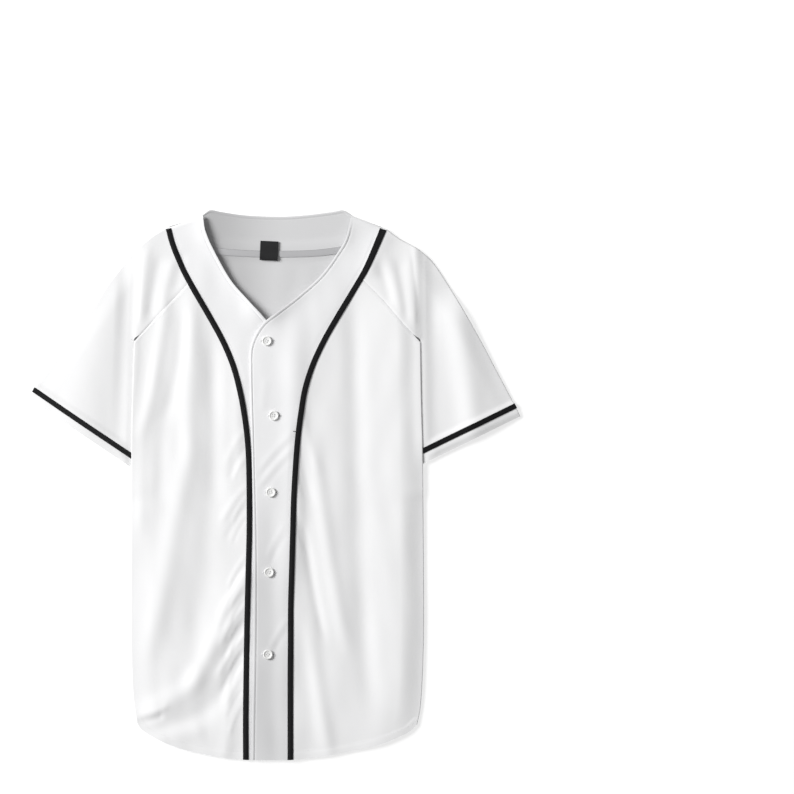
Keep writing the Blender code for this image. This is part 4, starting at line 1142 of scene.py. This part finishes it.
def cuff_braid_grid(side, strip):
    """Braid round a cuff, from near the armhole at the back round the fold to the body's front edge."""
    if side > 0:
        strip = strip[:, ::-1]
    rows = []
    for row in strip:
        inside = inside_side(side, row[:, 0], row[:, 1])
        turn = int(np.argmin(inside))
        first = [k for k in range(turn) if inside[k] < -CUFF_STOP["back"]][0]
        last = [k for k in range(turn, len(row)) if inside[k] < -CUFF_STOP["front"] - 0.5][-1]
        share = (-CUFF_STOP["front"] - inside[last]) / (inside[last + 1] - inside[last])
        end = row[last] + (row[last + 1] - row[last]) * share
        rows.append((first, last, end))
    first = max(row[0] for row in rows)
    last = min(row[1] for row in rows)
    grid = np.stack([np.vstack([row[first:last + 1], found[2]]) for row, found in zip(strip, rows)], axis=0)
    grid[..., 2] = np.maximum(grid[..., 2], BRAID / 2 + 0.2)
    return grid[:, ::-1] if side > 0 else grid


def resampled(points, step):
    """Points of a line in space at even steps, with the way it runs at each."""
    length = np.concatenate([[0.0], np.cumsum(np.linalg.norm(np.diff(points, axis=0), axis=1))])
    count = max(int(length[-1] / step), 1)
    at = (np.arange(count) + 0.5) * step
    places = np.stack([np.interp(at, length, points[:, k]) for k in range(3)], axis=-1)
    ahead = np.stack([np.interp(at + 0.3 * step, length, points[:, k]) for k in range(3)], axis=-1)
    behind = np.stack([np.interp(at - 0.3 * step, length, points[:, k]) for k in range(3)], axis=-1)
    along = ahead - behind
    along /= np.linalg.norm(along, axis=1, keepdims=True) + 1e-12
    return places, along


def stitch_mesh(name, lines, step, length, radius, slot, sink=0.35, look="thread"):
    """Sewing stitches along lines of the cloth's surface, each a small pointed bar, in one mesh."""
    verts, faces = [], []
    profile = [(-0.5, 0.15), (-0.36, 0.8), (0.0, 1.0), (0.36, 0.8), (0.5, 0.15)]
    for line in lines:
        places, along = resampled(line, step)
        for place, way in zip(places, along):
            side = np.cross(way, (0.0, 0.0, 1.0))
            side /= np.linalg.norm(side) + 1e-12
            up = np.cross(side, way)
            base = len(verts)
            for share, thick in profile:
                for k in range(6):
                    turn = math.tau * k / 6
                    ring = side * math.cos(turn) * 1.15 + up * (math.sin(turn) - sink)
                    verts.append(place + way * share * length + ring * radius * thick)
            for r in range(len(profile) - 1):
                for k in range(6):
                    a = base + r * 6 + k
                    b = base + r * 6 + (k + 1) % 6
                    faces.append((a, b, b + 6, a + 6))
            faces.append(tuple(base + k for k in range(5, -1, -1)))
            faces.append(tuple(base + (len(profile) - 1) * 6 + k for k in range(6)))
    mesh = bpy.data.meshes.new(name)
    mesh.from_pydata([tuple((v + TO_CENTRE) * MM) for v in verts], [], faces)
    mesh.shade_smooth()
    return dress(bpy.data.objects.new(name, mesh), slot, look)


def lapped_height(x, y):
    """Middle of the lapped band's cloth at one place."""
    return float(front_height(x, y, over=True))


def button_frame(x, y):
    """Middle of the cloth under a button, and the way up from it."""
    reach = 5.0
    slope_x = (lapped_height(x + reach, y) - lapped_height(x - reach, y)) / (2 * reach)
    slope_y = (lapped_height(x, y + reach) - lapped_height(x, y - reach)) / (2 * reach)
    up = np.array([-slope_x, -slope_y, 1.0])
    up /= np.linalg.norm(up)
    return np.array([x, y, lapped_height(x, y)]), up


def drilled_hole(name, button, across, angle):
    """Hidden cutter for one of a button's holes."""
    drill = bmesh.new()
    bmesh.ops.create_cone(drill, cap_ends=True, segments=16, radius1=BUTTON_HOLE_RADIUS * MM,
                          radius2=BUTTON_HOLE_RADIUS * MM, depth=8.0 * MM)
    bmesh.ops.translate(drill, verts=drill.verts,
                        vec=(across * math.cos(angle), across * math.sin(angle), 0.0))
    mesh = bpy.data.meshes.new(name)
    drill.to_mesh(mesh)
    drill.free()
    hole = bpy.data.objects.new(name, mesh)
    hole.location = button.location
    hole.rotation_euler = button.rotation_euler
    hole.hide_render = True
    hole.hide_viewport = True
    hole.display_type = "WIRE"
    bpy.context.scene.collection.objects.link(hole)
    return hole


def button_object(name, x, y, turn):
    """Turned button with a rim and four holes, on a short thread shank, standing on the lapped band."""
    base, up = button_frame(x, y)
    body = bmesh.new()
    ring = [body.verts.new((r * MM, 0.0, z * MM)) for r, z in BUTTON_PROFILE]
    edges = [body.edges.new((a, b)) for a, b in zip(ring[:-1], ring[1:])]
    bmesh.ops.spin(body, geom=ring + edges, cent=(0, 0, 0), axis=(0, 0, 1), angle=math.tau,
                   steps=64, use_merge=True)
    bmesh.ops.remove_doubles(body, verts=body.verts, dist=0.000001)
    bmesh.ops.recalc_face_normals(body, faces=body.faces)
    mesh = bpy.data.meshes.new(name)
    body.to_mesh(mesh)
    body.free()
    obj = bpy.data.objects.new(name, mesh)
    obj.location = tuple((base + up * BUTTON_SEAT + TO_CENTRE) * MM)
    obj.rotation_euler = (math.asin(-up[1]), math.asin(up[0]), math.radians(turn))
    dress(obj, "white_button")
    across = BUTTON_HOLE_SPACING * math.sqrt(2.0) * MM
    for k in range(4):
        word = "hole_" + str(k + 1)
        cut = obj.modifiers.new(word, "BOOLEAN")
        cut.object = drilled_hole(name + "_" + word, obj, across, math.tau * k / 4)
        cut.operation = "DIFFERENCE"
        cut.solver = "EXACT"
    edge = obj.modifiers.new("edges", "EDGE_SPLIT")
    edge.split_angle = math.radians(40.0)
    mesh.shade_smooth()
    return obj


def button_thread(index, x, y, turn):
    """Two pairs of threads over a button's holes."""
    base, up = button_frame(x, y)
    seat = base + up * (BUTTON_SEAT + BUTTON_DISH)
    spacing = BUTTON_HOLE_SPACING
    half = spacing + 0.35
    angle = math.radians(turn + 45.0)
    across = np.array([math.cos(angle), math.sin(angle), 0.0])
    along = np.array([-math.sin(angle), math.cos(angle), 0.0])
    lines = []
    for offset in (-spacing, spacing):
        for slip in (-0.18, 0.18):
            middle = seat + across * (offset + slip)
            lines.append(np.array([middle - along * half, middle + along * half]))
    stitch_mesh("button_thread_" + str(index), lines, 2.0 * half * 0.999, 2.0 * half, 0.24,
                "white_button", 0.2)


def buttonhole(index, x, y):
    """Satin-stitched slot across the lapped band, under a button."""
    half_length = BUTTONHOLE["half_length"]
    half_width = BUTTONHOLE["half_width"]
    slit_side = BUTTONHOLE["slit"]
    centre_x = x + BUTTONHOLE["aside"]
    top = CLOTH / 2 + 0.12
    bars = []
    for along in np.arange(-half_length, half_length + 0.01, BUTTONHOLE["step"]):
        for sign in (-1.0, 1.0):
            px = centre_x + along
            low = y + sign * slit_side
            high = y + sign * (slit_side + half_width)
            bars.append(np.array([[px, low, lapped_height(px, low) + top],
                                  [px, high, lapped_height(px, high) + top]]))
    reach = half_width + 0.3
    for sign in (-1.0, 1.0):
        px = centre_x + sign * (half_length + 0.5)
        z = lapped_height(px, y) + CLOTH / 2 + 0.16
        for k in (-0.35, 0.15, 0.65):
            bars.append(np.array([[px + sign * k, y - reach, z], [px + sign * k, y + reach, z]]))
    stitch_mesh("buttonhole_" + str(index), bars, half_width * 0.999, half_width * 1.25, 0.3,
                "white_band", 0.3)
    # The slit is a thin sheet of dark grey along the slot: painted shade standing for the gap of the cut
    slit = [[centre_x + along, y, lapped_height(centre_x + along, y) + STITCH_LIFT]
            for along in np.linspace(-half_length, half_length, 24)]
    half_slit = np.array([0.0, 0.3, 0.0])
    wide = np.stack([np.array(slit) - half_slit, np.array(slit) + half_slit], axis=0)
    cloth_object("buttonhole_slit_" + str(index), wide, "white_band", 0.08, look="slit")


def thread_end():
    """Loose end of black thread that sticks out of the braid on the viewer's right."""
    x, y = THREAD_END
    z = lapped_height(x, y) + CLOTH / 2 + BRAID
    line = np.array([[x + 3.4, y - 0.5, z], [x - 1.8, y + 0.6, z - 0.2]])
    length = float(np.linalg.norm(line[1] - line[0]))
    stitch_mesh("thread_end", [line], length * 0.999, length, 0.5, "black_braid", 0.0, "black_braid")


def label_grid():
    """Woven label on the neck tape, hanging onto the back panel, its lower edge curling up a little."""
    across = np.linspace(-0.5, 0.5, 25) * LABEL["width"]
    down = np.linspace(-0.5, 0.5, 29) * LABEL["height"]
    u, v = np.meshgrid(across, down)
    turn = math.radians(LABEL["turn"])
    x = LABEL["middle"][0] + u * math.cos(turn) - v * math.sin(turn)
    y = LABEL["middle"][1] + u * math.sin(turn) + v * math.cos(turn)
    step = CAD_CLOTH + GAP
    level = back_height(x, y) + step + 0.1 + (step + 0.1) * smooth(17.0, 10.5, distance_to(NECK_LINE, x, y))
    curl = 1.1 * smooth(0.0, -0.5, v / LABEL["height"]) * (0.6 + 0.4 * np.sin(u / 9.0))
    return np.dstack([x, y, level + curl])


def sewn(name, line, size, slot):
    """Stitches of one size along a line of the cloth, lifted onto its surface."""
    raised = line + np.array([0.0, 0.0, STITCH_LIFT])
    return stitch_mesh(name, [raised], size["step"], size["length"], size["radius"], slot)


def sewing(word, over, panel, band):
    """Stitching of one side: along the braid, the neck edge, the hem and the raglan seam."""
    braid_line = []
    for row in band[3:len(band) - 12:2]:
        width = np.linalg.norm(row[1] - row[-1])
        share = run_lengths(row[None, 1:], 1)[0]
        want = BAND_STITCH_IN / max(width, 1.0)
        braid_line.append([np.interp(want, share / share[-1], row[1:, k]) for k in range(3)])
    rim_rows = [i for i in range(2, len(band) - 12, 2) if over or band[i, -1, 1] > 200.0]
    hem_row = int(np.argmin(np.abs(run_lengths(panel, 0)[:, 30] - HEM_DEPTH)))
    by_braid = sewn("band_stitching_" + word, np.array(braid_line), STITCH, "white_band")
    by_edge = sewn("edge_stitching_" + word, band[rim_rows, -8], STITCH, "white_band")
    by_hem = sewn("hem_stitching_" + word, panel[hem_row, 3:-4], STITCH, "white_knit")
    by_raglan = sewn("raglan_stitching_" + word, panel[-3, 4:-4], FINE_STITCH, "white_knit")
    return by_braid, by_edge, by_hem, by_raglan


def front_side(side, word, table):
    """One side of the garment: its braids, stitching, front panel, band and sleeve."""
    over = side > 0
    both = curve(table)
    flat, shares = panel_grid(side, both, PANEL_ROWS, PANEL_COLS)
    panel = raise_grid(flat, panel_height(side))
    sleeve, sleeve_shares, front_cols = sleeve_grid(side, both)
    run = np.array([1.0 - 1.4 / both.length, 1.0])
    band = band_grid(side, both, np.concatenate([shares, sleeve_shares[1:], run]), over)
    braid = plaited(front_braid_grid(side, panel, band, sleeve, front_cols), 1)
    if side > 0:
        panel_out, band_out, sleeve_out = panel, band[:, ::-1], sleeve[:, ::-1]
    else:
        panel_out, band_out, sleeve_out = panel[:, ::-1], band, sleeve
    braid_obj = cloth_object("braid_" + word, on_top(braid, ON_CLOTH), "black_braid", BRAID, 6)
    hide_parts("front_braid_" + word)
    cuff_rows = on_top(sleeve_out[:10], ON_CLOTH)[6:9]
    cuff = plaited(cuff_braid_grid(side, cuff_rows), 0)
    cuff_obj = cloth_object("cuff_trim_" + word, cuff, "black_braid", BRAID)
    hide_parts("cuff_braid_" + word)
    by_braid, by_edge, by_hem, by_raglan = sewing(word, over, panel, band)
    panel_obj = cloth_object("panel_" + word, panel_out, "white_knit")
    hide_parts("front_panel_" + word)
    band_obj = cloth_object("band_" + word, band_out, "white_band")
    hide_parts("front_band_" + word)
    sleeve_obj = cloth_object("raglan_sleeve_" + word, sleeve_out, "white_knit")
    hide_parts("sleeve_" + word)


def neck_braid_grid():
    """Braid round the back of the neck, flat on the floor under the seam."""
    under = NECK_LINE(np.linspace(0.004, 0.996, 140))
    rows = np.stack([moved(under, d, -1) for d in (-BRAID_HALF, 0.0, BRAID_HALF)], axis=0)
    return np.dstack([rows[..., 0], rows[..., 1], np.full(rows.shape[:2], CAD_BRAID / 2)])


def back_side():
    """Back panel and back neck band, with the tape, braid and label that are sewn to them."""
    back = back_panel_grid()
    back_obj = cloth_object("back_panel_sheet", back, "white_knit", inside="inner_knit_painted_shade")
    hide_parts("back_panel")
    neck = back_band_grid()
    neck_obj = cloth_object("neck_band_sheet", neck, "white_band", inside="inner_knit_painted_shade")
    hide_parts("neck_band_back")
    tape = on_top(back[-4:, 20:-20], CAD_CLOTH + GAP - 0.2)
    tape_obj = cloth_object("neck_tape_strip", tape, "neck_tape", 0.8)
    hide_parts("neck_tape")
    neck_braid_obj = cloth_object("neck_braid_strip", neck_braid_grid(), "black_braid", CAD_BRAID)
    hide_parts("neck_braid_back")
    label_obj = cloth_object("neck_label", label_grid(), "black_label", 0.5)
    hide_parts("label")
    cut, area = cut_of(back)
    straight_across = float(run_lengths(back, 1)[:, -1].min()) * MM
    cut = (straight_across, cut[1])
    cut, area = cut_of(neck)


def lay_out():
    """Builds every piece of the jersey."""
    front_side(-1, "left", UNDER_BAND)
    front_side(1, "right", OVER_BAND)
    back_side()
    for index, (x, y, turn) in enumerate(BUTTONS):
        made = button_object("shown_button_" + str(index + 1), x, y, turn)
        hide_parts("button_" + str(index + 1))
        button_thread(index + 1, x, y, turn)
        buttonhole(index + 1, x, y)
    thread_end()


def floor_and_light():
    """White sweep, one large soft light from the upper left, and an even fill."""
    bpy.ops.mesh.primitive_plane_add(size=8.0, location=(0.0, 0.0, 0.0))
    floor = bpy.context.object
    floor.name = "floor"
    paper = bpy.data.materials.new("paper")
    paper.use_nodes = True
    shader = paper.node_tree.nodes["Principled BSDF"]
    shader.inputs["Base Color"].default_value = (FLOOR_GREY, FLOOR_GREY, FLOOR_GREY, 1.0)
    shader.inputs["Roughness"].default_value = 1.0
    shader.inputs["Specular IOR Level"].default_value = 0.0
    shader.inputs["Emission Color"].default_value = (1.0, 1.0, 1.0, 1.0)
    shader.inputs["Emission Strength"].default_value = FLOOR_GLOW
    floor.data.materials.append(paper)
    lamp_data = bpy.data.lights.new("key", "AREA")
    lamp_data.shape = "DISK"
    lamp_data.size = KEY_SIZE
    lamp_data.energy = KEY_POWER
    lamp = bpy.data.objects.new("key", lamp_data)
    azimuth = math.radians(KEY_AZIMUTH)
    elevation = math.radians(KEY_ELEVATION)
    lamp.location = (KEY_DISTANCE * math.cos(azimuth) * math.cos(elevation),
                     KEY_DISTANCE * math.sin(azimuth) * math.cos(elevation),
                     KEY_DISTANCE * math.sin(elevation))
    aim = -lamp.location
    lamp.rotation_euler = aim.to_track_quat("-Z", "Y").to_euler()
    bpy.context.scene.collection.objects.link(lamp)
    world = bpy.data.worlds.new("even_fill")
    world.use_nodes = True
    back = world.node_tree.nodes["Background"]
    back.inputs["Color"].default_value = (1.0, 1.0, 1.0, 1.0)
    back.inputs["Strength"].default_value = FILL
    bpy.context.scene.world = world


def camera():
    """Camera straight above, framed as in the photograph."""
    data = bpy.data.cameras.new("camera")
    data.sensor_width = SENSOR
    data.lens = SENSOR * CAMERA_HEIGHT / FRAME_WIDTH
    made = bpy.data.objects.new("camera", data)
    made.location = (FRAME_CENTRE[0], FRAME_CENTRE[1], CAMERA_HEIGHT)
    made.rotation_euler = (0.0, 0.0, 0.0)
    bpy.context.scene.collection.objects.link(made)
    bpy.context.scene.camera = made


lay_out()
floor_and_light()
camera()
bpy.context.scene.view_settings.view_transform = "Standard"
